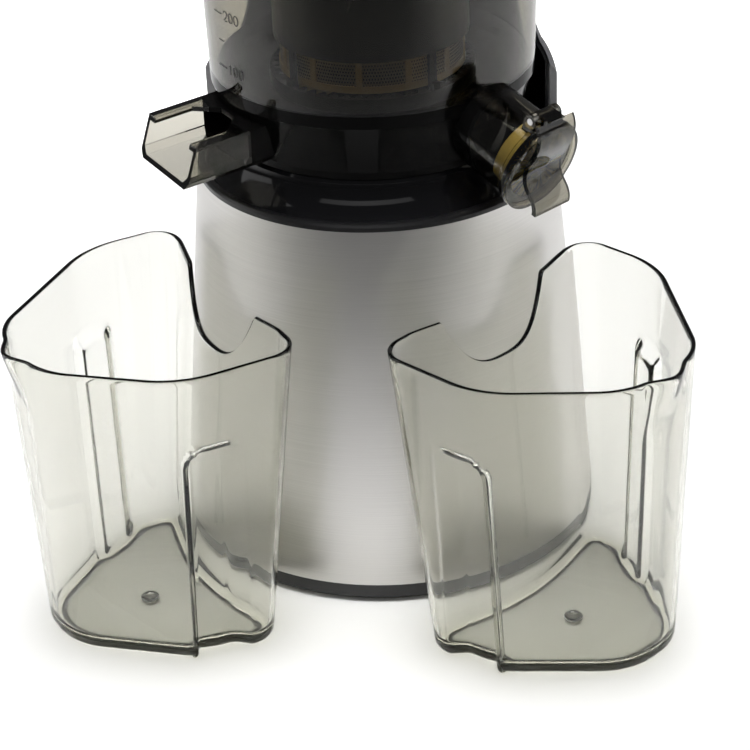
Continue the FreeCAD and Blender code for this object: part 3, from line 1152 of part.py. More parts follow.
pulp_cup = cup()
parts = {
    "foot_ring": foot_ring,
    "base_cover": base_cover,
    "steel_shell": steel_shell,
    "deck_bezel": deck_bezel,
    "deck_cover": deck_cover,
    "handle_shell": handle_shell,
    "handle_lining": handle_lining,
    "base_screws": lambda: screws(SCREW_PLACES, FLOOR_GAP + 2, 10, 1.6, 3.0, 1.8, up=False),
    "motor_can": motor_can,
    "motor_pads": motor_pads,
    "stator_core": stator_core,
    "stator_winding": stator_winding,
    "rotor_core": rotor_core,
    "rotor_shaft": rotor_shaft,
    "cooling_fan": cooling_fan,
    "motor_pinion": motor_pinion,
    "motor_bearings": lambda: Part.makeCompound([bearing(z, SHAFT_R) for z in (CAN_Z + CAN_T, BOX_Z - 4)]),
    "gearbox_case": gearbox_case,
    "gearbox_lid": gearbox_lid,
    "gearbox_screws": lambda: screws(LID_PLACES, BOX_TOP, 11, 1.48, 2.8, 1.8),
    "counter_shaft": counter_shaft,
    "counter_wheel": counter_wheel,
    "counter_pinion": counter_pinion,
    "output_wheel": output_wheel,
    "drive_shaft": drive_shaft,
    "drive_bearings": lambda: Part.makeCompound([bearing(BOX_TOP, DRIVE_R),
                                                 bearing(DOME_Z - 3 - BEARING_H, DRIVE_R)]),
    "shaft_seal": shaft_seal,
    "control_board": control_board,
    "switch_housing": switch_housing,
    "switch_rocker": switch_rocker,
    "cord_inlet": cord_inlet,
    "juicing_bowl": juicing_bowl,
    "hub_seal": hub_seal,
    "idler_pin": idler_pin,
    "idler_gear": idler_gear,
    "strainer_frame": strainer_frame,
    "strainer_mesh": strainer_mesh,
    "brush_frame": brush_frame,
    "brush_blades": brush_blades,
    "auger": auger,
    "spout_cap": spout_cap,
    "cap_plug": cap_plug,
    "cap_hinge_pin": cap_hinge_pin,
    "lid": lid,
    "lid_bush": lid_bush,
    "lid_seal": lid_seal,
    "pusher": pusher,
    "pusher_cap": pusher_cap,
    "pulp_cup": lambda: pulp_cup,
    "juice_cup": lambda: pulp_cup.mirror(V(0, 0, 0), V(1, 0, 0)),
}
for name, make in parts.items():
    shape = make()
    save(name, shape)
    if not shape.isValid():
        print("not valid:", name)
print("built", len(parts), "nodes")
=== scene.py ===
import bpy
import bmesh
import json
from math import cos, pi, radians, sin, sqrt, tan
from mathutils import Matrix, Vector


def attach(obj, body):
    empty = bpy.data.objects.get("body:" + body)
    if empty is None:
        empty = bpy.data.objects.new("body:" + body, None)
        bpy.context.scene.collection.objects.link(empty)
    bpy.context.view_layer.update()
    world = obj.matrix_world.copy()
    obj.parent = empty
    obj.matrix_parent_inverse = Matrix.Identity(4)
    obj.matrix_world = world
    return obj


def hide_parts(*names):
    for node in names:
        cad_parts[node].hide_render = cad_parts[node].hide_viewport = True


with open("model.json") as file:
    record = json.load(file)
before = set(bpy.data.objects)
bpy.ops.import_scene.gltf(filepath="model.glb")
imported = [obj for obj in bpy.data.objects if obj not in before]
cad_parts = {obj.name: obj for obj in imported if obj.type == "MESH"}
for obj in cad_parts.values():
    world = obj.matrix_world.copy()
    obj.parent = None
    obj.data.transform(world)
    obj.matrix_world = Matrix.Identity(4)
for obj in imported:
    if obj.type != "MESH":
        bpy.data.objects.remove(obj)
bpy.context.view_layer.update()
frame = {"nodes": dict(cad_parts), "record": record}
nodes = frame["nodes"]
scene = bpy.context.scene
scene.view_settings.view_transform = "Standard"


# ---------------------------------------------------------------- node helpers
NOISE_ROUGH = 0.55
EDGE_SAMPLES = 4


def material(name):
    mat = bpy.data.materials.new(name)
    mat.use_nodes = True
    tree = mat.node_tree
    tree.nodes.clear()
    out = tree.nodes.new("ShaderNodeOutputMaterial")
    return mat, tree, out


def add(tree, kind, **sockets):
    """A node with values on its sockets. An underscore in a socket's name stands for a space."""
    node = tree.nodes.new(kind)
    for key, value in sockets.items():
        node.inputs[key.replace("_", " ")].default_value = value
    return node


def principled(tree, out, color, rough, **more):
    shader = add(tree, "ShaderNodeBsdfPrincipled", Base_Color=(*color, 1), Roughness=rough, **more)
    if out is not None:
        tree.links.new(shader.outputs[0], out.inputs["Surface"])
    return shader


def noise(tree, scale, detail, stretch=(1, 1, 1)):
    """Soft noise in the piece's own coordinates."""
    where = tree.nodes.new("ShaderNodeTexCoord")
    mapping = tree.nodes.new("ShaderNodeMapping")
    mapping.inputs["Scale"].default_value = stretch
    tex = tree.nodes.new("ShaderNodeTexNoise")
    tex.inputs["Scale"].default_value = scale
    tex.inputs["Detail"].default_value = detail
    tex.inputs["Roughness"].default_value = NOISE_ROUGH
    tree.links.new(where.outputs["Object"], mapping.inputs["Vector"])
    tree.links.new(mapping.outputs[0], tex.inputs["Vector"])
    return tex


def ramp(tree, source, stops):
    """Colours that follow a value, given as (value, colour) stops."""
    node = tree.nodes.new("ShaderNodeValToRGB")
    while len(node.color_ramp.elements) < len(stops):
        node.color_ramp.elements.new(0.5)
    for element, (place, color) in zip(node.color_ramp.elements, stops):
        element.position = place
        element.color = (*color, 1)
    tree.links.new(source, node.inputs["Fac"])
    return node


def span(tree, source, low, high):
    """A value from 0 to 1, spread over low to high."""
    node = tree.nodes.new("ShaderNodeMapRange")
    node.inputs["To Min"].default_value = low
    node.inputs["To Max"].default_value = high
    tree.links.new(source, node.inputs["Value"])
    return node


def bump(tree, shader, height, strength, distance, soften=0.0):
    """Relief on a shader, on edges that are rounded off by the soften radius in metres."""
    node = tree.nodes.new("ShaderNodeBump")
    node.inputs["Strength"].default_value = strength
    node.inputs["Distance"].default_value = distance
    tree.links.new(height, node.inputs["Height"])
    if soften:
        edge = tree.nodes.new("ShaderNodeBevel")
        edge.samples = EDGE_SAMPLES
        edge.inputs["Radius"].default_value = soften
        tree.links.new(edge.outputs[0], node.inputs["Normal"])
    tree.links.new(node.outputs[0], shader.inputs["Normal"])


def calc(tree, operation, a, b=None):
    """Maths on one or two values, each a number or a socket."""
    node = tree.nodes.new("ShaderNodeMath")
    node.operation = operation
    for index, value in enumerate((a, b)):
        if value is None:
            continue
        if isinstance(value, (int, float)):
            node.inputs[index].default_value = value
        else:
            tree.links.new(value, node.inputs[index])
    return node.outputs[0]


def place_split(tree):
    """Place on the piece along x, y and z, in metres."""
    where = tree.nodes.new("ShaderNodeTexCoord")
    split = tree.nodes.new("ShaderNodeSeparateXYZ")
    tree.links.new(where.outputs["Object"], split.inputs[0])
    return split.outputs


def around(tree, radius):
    """Coordinates (arc length, height) round the drive axis, in metres."""
    x, y, height = place_split(tree)
    arc = calc(tree, "MULTIPLY", calc(tree, "ARCTAN2", x, calc(tree, "MULTIPLY", y, -1)), radius)
    return arc, height


def length(tree, x, y):
    return calc(tree, "SQRT", squares(tree, x, y))


def squares(tree, x, y):
    return calc(tree, "ADD", calc(tree, "MULTIPLY", x, x), calc(tree, "MULTIPLY", y, y))


def flat_vector(tree, x, y):
    node = tree.nodes.new("ShaderNodeCombineXYZ")
    tree.links.new(x, node.inputs[0])
    tree.links.new(y, node.inputs[1])
    return node.outputs[0]


def mesh_piece(name, bm):
    """The finished mesh as an object in the scene."""
    mesh = bpy.data.meshes.new(name)
    bm.to_mesh(mesh)
    bm.free()
    piece = bpy.data.objects.new(name, mesh)
    scene.collection.objects.link(piece)
    return piece


# ---------------------------------------------------------------- materials
MOULDED_EDGE, METAL_EDGE = 0.0004, 0.0003         # edge rounding, in metres
CLEAR_ROUGH, CLEAR_IOR = 0.02, 1.47
SHELL_R, MESH_R = 0.09, 0.055                     # radii that the patterns wrap at
HOLE_PITCH = 0.0017                               # of the mesh; the next three are shares of it
ROW_SHARE = 0.87                                  # distance between rows of holes
HOLE_CORE, HOLE_RIM = 0.2, 0.27                   # radii of a hole's flat and of its rim


def moulded(name, color, rough, grain=1400, depth=0.12, vary=0.25, **more):
    """Moulded plastic or rubber: fine grain, slow colour change, uneven sheen, softened edges."""
    mat, tree, out = material(name)
    shader = principled(tree, out, color, rough, **more)
    slow = noise(tree, 18, 4)
    dark = tuple(c * (1 - vary) for c in color)
    light = tuple(min(1, c * (1 + vary)) for c in color)
    shade = ramp(tree, slow.outputs[0], [(0.3, dark), (0.7, light)])
    tree.links.new(shade.outputs[0], shader.inputs["Base Color"])
    sheen = span(tree, noise(tree, 60, 5).outputs[0], rough * 0.8, rough * 1.25)
    tree.links.new(sheen.outputs[0], shader.inputs["Roughness"])
    bump(tree, shader, noise(tree, grain, 2).outputs[0], depth, 0.00008, MOULDED_EDGE)
    return mat


def brushed_steel(name, color, radius):
    """Sheet steel brushed round the cone: long fine scratches, light smears, stretched reflections."""
    mat, tree, out = material(name)
    shader = principled(tree, out, color, 0.3, Metallic=1.0, Anisotropic=0.75)
    tangent = tree.nodes.new("ShaderNodeTangent")
    tangent.direction_type = "RADIAL"
    tangent.axis = "Z"
    tree.links.new(tangent.outputs[0], shader.inputs["Tangent"])
    arc, height = around(tree, radius)
    scratches = []
    for across, along in ((5200, 18), (2300, 9)):
        tex = tree.nodes.new("ShaderNodeTexNoise")
        tex.inputs["Scale"].default_value = 1.0
        tex.inputs["Detail"].default_value = 2.0
        place = flat_vector(tree, calc(tree, "MULTIPLY", arc, along), calc(tree, "MULTIPLY", height, across))
        tree.links.new(place, tex.inputs["Vector"])
        scratches.append(tex.outputs[0])
    fine, coarse = scratches
    grain = calc(tree, "ADD", calc(tree, "MULTIPLY", fine, 0.6), calc(tree, "MULTIPLY", coarse, 0.4))
    smear = noise(tree, 9, 4, stretch=(1, 1, 0.35))
    dark, light = tuple(c * 0.9 for c in color), tuple(min(1, c * 1.06) for c in color)
    smeared = calc(tree, "MULTIPLY", smear.outputs[0], 0.3)
    mix = calc(tree, "ADD", calc(tree, "MULTIPLY", grain, 0.7), smeared)
    shade = ramp(tree, mix, [(0.35, dark), (0.65, light)])
    tree.links.new(shade.outputs[0], shader.inputs["Base Color"])
    tree.links.new(span(tree, mix, 0.24, 0.38).outputs[0], shader.inputs["Roughness"])
    bump(tree, shader, grain, 0.05, 0.00004)
    return mat


def clear_plastic(name, tint, edge, absorb, density, foot=None):
    """Clear moulded plastic. Its tint deepens with its thickness and where it is seen edge on.

    Lamps shine through it. Within an optional (radius, height) round the drive axis it is swapped for an
    opaque, nearly black sheet: painted shade standing in for the dark look of the smoked wall over the black
    parts behind it.
    """
    mat, tree, out = material(name)
    facing = tree.nodes.new("ShaderNodeLayerWeight")
    facing.inputs["Blend"].default_value = 0.35
    slow = noise(tree, 14, 3)
    shade = ramp(tree, facing.outputs["Facing"], [(0.45, tint), (0.98, edge)])
    glass = principled(tree, None, tint, CLEAR_ROUGH, IOR=CLEAR_IOR, Transmission_Weight=1.0)
    tree.links.new(shade.outputs[0], glass.inputs["Base Color"])
    sheen = span(tree, slow.outputs[0], CLEAR_ROUGH * 0.5, CLEAR_ROUGH * 1.6)
    tree.links.new(sheen.outputs[0], glass.inputs["Roughness"])
    bump(tree, glass, noise(tree, 45, 2).outputs[0], 0.006, 0.0004)
    clear = add(tree, "ShaderNodeBsdfTransparent", Color=(*tint, 1))
    ray = tree.nodes.new("ShaderNodeLightPath")
    mix = tree.nodes.new("ShaderNodeMixShader")
    tree.links.new(ray.outputs["Is Shadow Ray"], mix.inputs[0])
    tree.links.new(glass.outputs[0], mix.inputs[1])
    tree.links.new(clear.outputs[0], mix.inputs[2])
    tree.links.new(mix.outputs[0], out.inputs["Surface"])
    # painted shade: inside the given radius and below the given height the clear plastic gives way to a
    # nearly black, barely reflecting sheet
    if foot:
        foot_radius, foot_height = foot
        x, y, height = place_split(tree)
        near = calc(tree, "LESS_THAN", squares(tree, x, y), foot_radius ** 2)
        painted_shade_mask = calc(tree, "MULTIPLY", near, calc(tree, "LESS_THAN", height, foot_height))
        dark = principled(tree, None, (0.004, 0.004, 0.004), 0.08, Specular_IOR_Level=0.06)
        blend = tree.nodes.new("ShaderNodeMixShader")
        tree.links.new(painted_shade_mask, blend.inputs[0])
        tree.links.new(mix.outputs[0], blend.inputs[1])
        tree.links.new(dark.outputs[0], blend.inputs[2])
        tree.links.new(blend.outputs[0], out.inputs["Surface"])
    inside = add(tree, "ShaderNodeVolumeAbsorption", Color=(*absorb, 1), Density=density)
    tree.links.new(inside.outputs[0], out.inputs["Volume"])
    return mat


def metal(name, color, rough):
    """Machined or rolled metal with a fine, uneven sheen."""
    mat, tree, out = material(name)
    shader = principled(tree, out, color, rough, Metallic=1.0)
    fine = noise(tree, 900, 3)
    sheen = span(tree, fine.outputs[0], rough * 0.75, rough * 1.3)
    tree.links.new(sheen.outputs[0], shader.inputs["Roughness"])
    bump(tree, shader, fine.outputs[0], 0.1, 0.00005, METAL_EDGE)
    return mat


def perforated(name, color, radius, pitch):
    """Gold sheet with staggered rows of round holes, drawn as painted shade (dark dots fading to gold at
    their rim), and with a sunk rim.
    """
    mat, tree, out = material(name)
    shader = principled(tree, out, color, 0.3, Metallic=1.0)
    arc, height = around(tree, radius)
    row = calc(tree, "DIVIDE", height, pitch * ROW_SHARE)
    shift = calc(tree, "MULTIPLY", calc(tree, "MODULO", calc(tree, "FLOOR", row), 2.0), 0.5)
    column = calc(tree, "ADD", calc(tree, "DIVIDE", arc, pitch), shift)
    across = calc(tree, "SUBTRACT", calc(tree, "FRACT", column), 0.5)
    upward = calc(tree, "MULTIPLY", calc(tree, "SUBTRACT", calc(tree, "FRACT", row), 0.5), ROW_SHARE)
    hole = span(tree, length(tree, across, upward), 0.0, 1.0)
    hole.inputs["From Min"].default_value, hole.inputs["From Max"].default_value = HOLE_CORE, HOLE_RIM
    wear = span(tree, noise(tree, 160, 3).outputs[0], 0.8, 1.1)
    hole_shade_and_wear = calc(tree, "MULTIPLY", hole.outputs[0], wear.outputs[0])
    # painted shade: the holes are dark dots, nearly black at their middle and fading to the gold at their
    # rim; the wear noise adds random tone over the whole sheet
    dark = tuple(c * 0.04 for c in color)
    shade = ramp(tree, hole_shade_and_wear, [(0.0, dark), (1.0, color)])
    tree.links.new(shade.outputs[0], shader.inputs["Base Color"])
    tree.links.new(span(tree, hole_shade_and_wear, 0.7, 0.28).outputs[0], shader.inputs["Roughness"])
    bump(tree, shader, hole.outputs[0], 0.5, 0.0003)
    return mat


MOULDED = {  # slot: colour, roughness, further settings
    "silver_shell": ((0.42, 0.42, 0.44), 0.32, {"vary": 0.04, "Metallic": 0.7}),
    "gloss_black": ((0.005, 0.005, 0.006), 0.07, {"grain": 300, "depth": 0.02, "Specular_IOR_Level": 0.3}),
    "satin_black": ((0.01, 0.01, 0.011), 0.3, {"grain": 240, "depth": 0.012}),
    "silicone_amber": ((1.0, 0.74, 0.2), 0.35, {"vary": 0.06}),
    "silicone_black": ((0.02, 0.02, 0.022), 0.45, {}),
    "rubber_black": ((0.02, 0.02, 0.02), 0.6, {"depth": 0.3}),
    "amber_resin": ((0.72, 0.52, 0.24), 0.28, {"vary": 0.12}),
    "auger_resin": ((0.02, 0.018, 0.015), 0.25, {}),
    "gear_nylon": ((0.75, 0.73, 0.66), 0.4, {"vary": 0.06}),
    "gear_housing": ((0.04, 0.04, 0.045), 0.45, {}),
    "board_green": ((0.02, 0.12, 0.05), 0.4, {}),
}
METALS = {  # slot: colour, roughness
    "zinc_steel": ((0.5, 0.5, 0.52), 0.38),
    "iron": ((0.25, 0.25, 0.26), 0.5),
    "copper": ((0.72, 0.3, 0.12), 0.3),
    "bearing_steel": ((0.65, 0.65, 0.67), 0.18),
    "screw_steel": ((0.4, 0.4, 0.42), 0.3),
}
SMOKE = (0.3, 0.27, 0.18)
# radius and height within which the bowl's smoked wall is painted nearly black as painted shade
BOWL_PAINTED_SHADE_FOOT = (0.0755, 0.2215)
MATS = {slot: moulded(slot, color, rough, **more) for slot, (color, rough, more) in MOULDED.items()}
MATS |= {slot: metal(slot, color, rough) for slot, (color, rough) in METALS.items()}
MATS |= {
    "brushed_steel": brushed_steel("brushed_steel", (0.6, 0.588, 0.57), SHELL_R),
    "mesh_steel": perforated("mesh_steel", (0.8, 0.62, 0.34), MESH_R, HOLE_PITCH),
    "smoked_clear": clear_plastic("smoked_clear", (0.75, 0.74, 0.7), (0.6, 0.59, 0.55), SMOKE, 320,
                                  BOWL_PAINTED_SHADE_FOOT),
    "tinted_clear": clear_plastic("tinted_clear", (0.96, 0.96, 0.94), (0.9, 0.9, 0.88),
                                  (0.55, 0.54, 0.42), 90),
}
SMOKED_CAP = clear_plastic("smoked_cap", (0.62, 0.6, 0.54), (0.42, 0.4, 0.33), SMOKE, 520)
for part in frame["record"]["subparts"]:
    mesh = nodes[part["node"]].data
    mesh.materials.clear()
    mesh.materials.append(SMOKED_CAP if part["node"] == "spout_cap" else MATS[part["material_slot"]])


# ---------------------------------------------------------------- cups
# A plan's points are (out, front), in metres from the drive axis. The corners are in mm instead, as (out from
# the wall facing the base, front, corner radius), first at the foot and then at the rim.
CUP_TOP, CUP_WALL = 0.144, 0.002
CUP_TURN = radians(-144)          # direction that the pulp cup's plan looks out in, round the drive axis
CUP_INNER = (0.0980, 0.0849)      # the wall facing the base, at the foot and at the rim, from the axis
CUP_CORNERS = (((0, -31, 10), (30, -31, 36), (82, 9, 28), (82, 41, 32), (34, 82.5, 38), (0, 82.5, 12)),
               ((0, -41, 12), (41, -41, 42), (101, 9, 30), (101, 52, 34), (55, 92.5, 40), (0, 92.5, 13)))
OUTLINE_STEP, CORNER_PARTS = 0.0008, 16
CUP_POINTS, CUP_LEVELS, CUP_ROWS, BEND_PARTS, RIM_PARTS = 420, 72, 60, 5, 8
FOOT_ROUND, RIM_ROUND, FLOOR_TOP, FLOOR_ROUND = 0.0035, 0.0009, 0.0034, 0.0045
EASE_STEP, EASE_ROUNDS = 0.0005, 5                 # smoothing of the outline for each step that it moves in
HOLLOW_DEPTH, HOLLOW_MIDDLE, HOLLOW_HALF = 0.008, 0.023, 0.050     # the base's side is hollow
HOLLOW_REACH, HOLLOW_FADE = 0.016, 0.012
GRIP_TOP, GRIP_DEPTH = 0.108, 0.0062               # finger grips, sunk into the front and rear walls
FRONT_EDGE, FRONT_LEAN, FRONT_LONG, FRONT_FADE = 0.038, 0.011, 0.025, 0.009
FRONT_STEP, FRONT_CORNER = 0.0022, 0.009
REAR_EDGE, REAR_LEAN, REAR_LONG, REAR_FADE = 0.046, 0.008, 0.024, 0.007
REAR_STEP, REAR_TOP_STEP = 0.004, 0.0025
FRONT_SIDE, OUTER_SIDE = 0.05, 0.05                # where the plan counts as front wall and as outer wall
LIP_DEPTH, LIP_MIDDLE, LIP_HALF, LIP_START, LIP_RISE = 0.005, 0.0305, 0.0135, 0.112, 0.034
DIP_DEPTH, DIP_MIDDLE, DIP_HALF, DIP_REACH = 0.0255, 0.0265, 0.0305, 0.017
NUB_PLACE, NUB_SIDES = (0.1365, 0.0285), 40
NUB_PROFILE = ((0.0040, 0.00005), (0.0040, 0.0009), (0.0037, 0.0012), (0.0024, 0.0012), (0.0021, 0.0009))


def smooth(x):
    """Ease from 0 to 1 with level ends."""
    x = min(1.0, max(0.0, x))
    return x * x * (3 - 2 * x)


def rounded_plan(corners):
    """Points along a closed outline with rounded corners, close together."""
    spots = [Vector(c[:2]) for c in corners]
    line = []
    for k, (*_, radius) in enumerate(corners):
        here = spots[k]
        back = (spots[k - 1] - here).normalized()
        on = (spots[(k + 1) % len(spots)] - here).normalized()
        half = back.angle(on) / 2
        cut = radius / tan(half)
        middle = here + (back + on).normalized() * (radius / sin(half))
        start, end = here + back * cut, here + on * cut
        sweep = (start - middle).angle_signed(end - middle)
        for i in range(CORNER_PARTS + 1):
            turn = Matrix.Rotation(-sweep * i / CORNER_PARTS, 2)
            line.append(middle + turn @ (start - middle))
    dense = []
    for a, b in zip(line, line[1:] + line[:1]):
        count = max(1, int((b - a).length / OUTLINE_STEP))
        dense += [a.lerp(b, i / count) for i in range(count)]
    return dense


def even_points(outline):
    """As many points as a cup has round it, evenly spaced along a closed outline."""
    total, runs = 0.0, []
    for a, b in zip(outline, outline[1:] + outline[:1]):
        runs.append(total)
        total += (b - a).length
    points, at = [], 0
    for k in range(CUP_POINTS):
        goal = total * k / CUP_POINTS
        while at + 1 < len(outline) and runs[at + 1] <= goal:
            at += 1
        reach = runs[at + 1] if at + 1 < len(outline) else total
        share = (goal - runs[at]) / max(1e-9, reach - runs[at])
        points.append(outline[at].lerp(outline[(at + 1) % len(outline)], share))
    return points


def front_grip(out, z):
    """How far the front grip is sunk in, 0 to 1, with a rounded upper corner."""
    edge = FRONT_EDGE + FRONT_LEAN * z / GRIP_TOP
    corner = max(0.0, FRONT_CORNER - max(0.0, edge - out))
    top = GRIP_TOP - (FRONT_CORNER - sqrt(max(0.0, FRONT_CORNER ** 2 - corner ** 2)))
    return (smooth((edge - out) / FRONT_STEP) * smooth((out - edge + FRONT_LONG) / FRONT_FADE)
            * smooth((top - z) / FRONT_STEP))


def rear_grip(out, z):
    """How far the rear grip is sunk in, 0 to 1."""
    edge = REAR_EDGE + REAR_LEAN * z / GRIP_TOP
    sunk = smooth((edge - out) / REAR_STEP) * smooth((out - edge + REAR_LONG) / REAR_FADE)
    return sunk * smooth((GRIP_TOP - z) / REAR_TOP_STEP)


def cup_outline(z):
    """Outside of the cup at a height, with the hollow side, the grips and the pouring lip."""
    share = z / CUP_TOP
    wall = CUP_INNER[0] + (CUP_INNER[1] - CUP_INNER[0]) * share
    corners = [[(b + (t - b) * share) / 1000 for b, t in zip(low, high)] for low, high in zip(*CUP_CORNERS)]
    shaped = []
    for u, v in even_points(rounded_plan(corners)):
        faces_base = smooth((HOLLOW_REACH - u) / HOLLOW_FADE)
        hollow = max(0.0, 1 - ((v - HOLLOW_MIDDLE) / HOLLOW_HALF) ** 2) ** 1.4
        out = HOLLOW_DEPTH * hollow * faces_base
        side = 0.0
        if v > FRONT_SIDE:
            side = -GRIP_DEPTH * front_grip(u, z)
        elif v < 0.0:
            side = GRIP_DEPTH * rear_grip(u, z)
        lip = max(0.0, 1 - ((v - LIP_MIDDLE) / LIP_HALF) ** 2) ** 2 if u > OUTER_SIDE else 0.0
        out += LIP_DEPTH * lip * smooth((z - LIP_START) / LIP_RISE) ** 1.5
        shaped.append(Vector((wall + u + out, v + side)))
    return shaped


def inward(points, depth):
    """The outline moved in by a depth along its own normals, eased where it goes in deep."""
    count = len(points)
    for _ in range(int(max(0.0, depth - CUP_WALL) / EASE_STEP) * EASE_ROUNDS):
        points = [(points[k - 1] + points[k] + points[(k + 1) % count]) / 3 for k in range(count)]
    moved = []
    for k, point in enumerate(points):
        along = (points[(k + 2) % count] - points[k - 2]).normalized()
        moved.append(point + Vector((-along.y, along.x)) * depth)
    return moved


def rim_height(point):
    """Height of the rim: level all round, and dipping in a U in the wall that faces the base."""
    if point.x > CUP_INNER[1] + DIP_REACH:
        return CUP_TOP
    across = abs((point.y - DIP_MIDDLE) / DIP_HALF)
    return CUP_TOP if across >= 1 else CUP_TOP - DIP_DEPTH * (1 - across ** 3.2)


def close_loops(bm, loops):
    """Skin between loops of vertices, one after another, with a cap on each end."""
    for low, high in zip(loops, loops[1:]):
        for k in range(len(low)):
            after = (k + 1) % len(low)
            bm.faces.new((low[k], low[after], high[after], high[k]))
    bm.faces.new(list(reversed(loops[0])))
    bm.faces.new(loops[-1])


def cup_skin(rims):
    """The cup's skin as (height of each point, depth in from the outside): out, up, over and down."""
    skin = []
    for i in range(BEND_PARTS + 1):
        turn = pi / 2 * i / BEND_PARTS
        skin.append(([FOOT_ROUND * (1 - cos(turn)) for _ in rims], FOOT_ROUND * (1 - sin(turn))))
    for i in range(1, CUP_ROWS + 1):
        share = i / CUP_ROWS
        skin.append(([FOOT_ROUND + (rim - RIM_ROUND - FOOT_ROUND) * share for rim in rims], 0.0))
    for i in range(1, RIM_PARTS):
        turn = pi * i / RIM_PARTS
        depth = CUP_WALL / 2 * (1 - cos(turn))
        skin.append(([rim - RIM_ROUND + RIM_ROUND * sin(turn) for rim in rims], depth))
    base = FLOOR_TOP + FLOOR_ROUND
    for i in range(CUP_ROWS, -1, -1):
        share = i / CUP_ROWS
        skin.append(([base + (rim - RIM_ROUND - base) * share for rim in rims], CUP_WALL))
    for i in range(1, BEND_PARTS + 1):
        turn = pi / 2 * i / BEND_PARTS
        depth = CUP_WALL + FLOOR_ROUND * (1 - cos(turn))
        skin.append(([base - FLOOR_ROUND * sin(turn) for _ in rims], depth))
    return skin


def cup(name, body, node, mirror):
    """One clear cup in place of its CAD node. The juice cup is the pulp cup mirrored."""
    rims = [rim_height(point) for point in cup_outline(CUP_TOP)]
    outlines = [cup_outline(CUP_TOP * k / CUP_LEVELS) for k in range(CUP_LEVELS + 1)]
    bm = bmesh.new()

    def in_world(spot, height):
        x = spot.x * cos(CUP_TURN) - spot.y * sin(CUP_TURN)
        y = spot.x * sin(CUP_TURN) + spot.y * cos(CUP_TURN)
        return Vector((-x if mirror else x, y, height))

    loops = []
    for heights, depth in cup_skin(rims):
        moved, loop = {}, []
        for k, height in enumerate(heights):
            low = min(CUP_LEVELS - 1, int(height / CUP_TOP * CUP_LEVELS))
            for level in (low, low + 1):
                if level not in moved:
                    moved[level] = inward(outlines[level], depth)
            share = height / CUP_TOP * CUP_LEVELS - low
            spot = moved[low][k].lerp(moved[low + 1][k], share)
            loop.append(bm.verts.new(in_world(spot, height)))
        loops.append(loop)
    close_loops(bm, loops)
    nub = in_world(Vector(NUB_PLACE), 0)
    turns = [2 * pi * k / NUB_SIDES for k in range(NUB_SIDES)]
    loops = []
    for radius, height in NUB_PROFILE:
        ring = [(nub.x + radius * cos(turn), nub.y + radius * sin(turn)) for turn in turns]
        loops.append([bm.verts.new((x, y, FLOOR_TOP + height)) for x, y in ring])
    close_loops(bm, loops)
    bmesh.ops.recalc_face_normals(bm, faces=bm.faces)
    for face in bm.faces:
        face.smooth = len(face.verts) == 4
    piece = mesh_piece(name, bm)
    piece.data.materials.append(MATS["tinted_clear"])
    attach(piece, body)
    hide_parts(node)


cup("pulp_cup_clear", "pulp_cup", "pulp_cup", False)
cup("juice_cup_clear", "juice_cup", "juice_cup", True)


# ---------------------------------------------------------------- level marks
BOWL_FOOT_R, BOWL_RIM_R, BOWL_FOOT_Z, BOWL_RIM_Z = 0.0701, 0.0726, 0.212, 0.322
MARK_TALL, MARK_WIDE, MARK_GAP, MARK_LINE = 0.0042, 0.0027, 0.0011, 0.00055
MARK_LOW, MARK_PROUD = 0.00002, 0.00018                    # underside and face of the print, off the wall
NUMBERS_START, TICKS_END = -49.6, -51.0                    # degrees round the bowl from its front
TICKS = ((0.2315, -56.5), (0.2435, -54.5), (0.2555, -56.5))  # height and where each tick starts, in degrees
NUMBERS = (("100", 0.2315), ("200", 0.2555))
TICK_PARTS, RING_PARTS, HOOK_PARTS = 8, 28, 12


def on_bowl(azimuth, height, proud):
    """Place on the outside of the bowl's wall, azimuth from the front, turning to the right."""
    flare = (BOWL_RIM_R - BOWL_FOOT_R) * (height - BOWL_FOOT_Z) / (BOWL_RIM_Z - BOWL_FOOT_Z)
    radius = BOWL_FOOT_R + flare + proud
    return Vector((radius * sin(azimuth), -radius * cos(azimuth), height))


def stroke(bm, line, closed=False):
    """A printed line through (azimuth, height) points, as a thin raised band on the bowl."""
    spots = [Vector((a * BOWL_FOOT_R, z)) for a, z in line]
    count = len(spots)
    rows = []
    for k, spot in enumerate(spots):
        before = spots[k - 1] if closed or k else spot
        after = spots[(k + 1) % count] if closed or k + 1 < count else spot
        along = (after - before).normalized()
        side = Vector((-along.y, along.x)) * MARK_LINE / 2
        edges = ((spot - side, MARK_LOW), (spot - side, MARK_PROUD), (spot + side, MARK_PROUD),
                 (spot + side, MARK_LOW))
        rows.append([bm.verts.new(on_bowl(flat.x / BOWL_FOOT_R, flat.y, proud)) for flat, proud in edges])
    pairs = list(zip(rows, rows[1:] + rows[:1]))
    for a, b in pairs if closed else pairs[:-1]:
        for i in range(4):
            bm.faces.new((a[i], b[i], b[(i + 1) % 4], a[(i + 1) % 4]))
    if not closed:
        bm.faces.new(rows[0])
        bm.faces.new(list(reversed(rows[-1])))


def digit(bm, shape, azimuth, height):
    """One numeral, 0, 1 or 2, with its lower left corner at a place on the bowl."""
    ring = [(0.5 + 0.5 * cos(2 * pi * k / RING_PARTS), 0.5 + 0.5 * sin(2 * pi * k / RING_PARTS))
            for k in range(RING_PARTS)]
    hook = [(0.5 - 0.5 * cos(pi * k / HOOK_PARTS), 0.72 + 0.28 * sin(pi * k / HOOK_PARTS))
            for k in range(HOOK_PARTS + 1)]
    plans = {"0": ring, "1": [(0.2, 0.78), (0.55, 1.0), (0.55, 0.5), (0.55, 0.0)],
             "2": hook + [(0.93, 0.55), (0.6, 0.3), (0.0, 0.0), (0.5, 0.0), (1.0, 0.0)]}
    line = [(azimuth + x * MARK_WIDE / BOWL_FOOT_R, height + y * MARK_TALL) for x, y in plans[shape]]
    stroke(bm, line, closed=shape == "0")


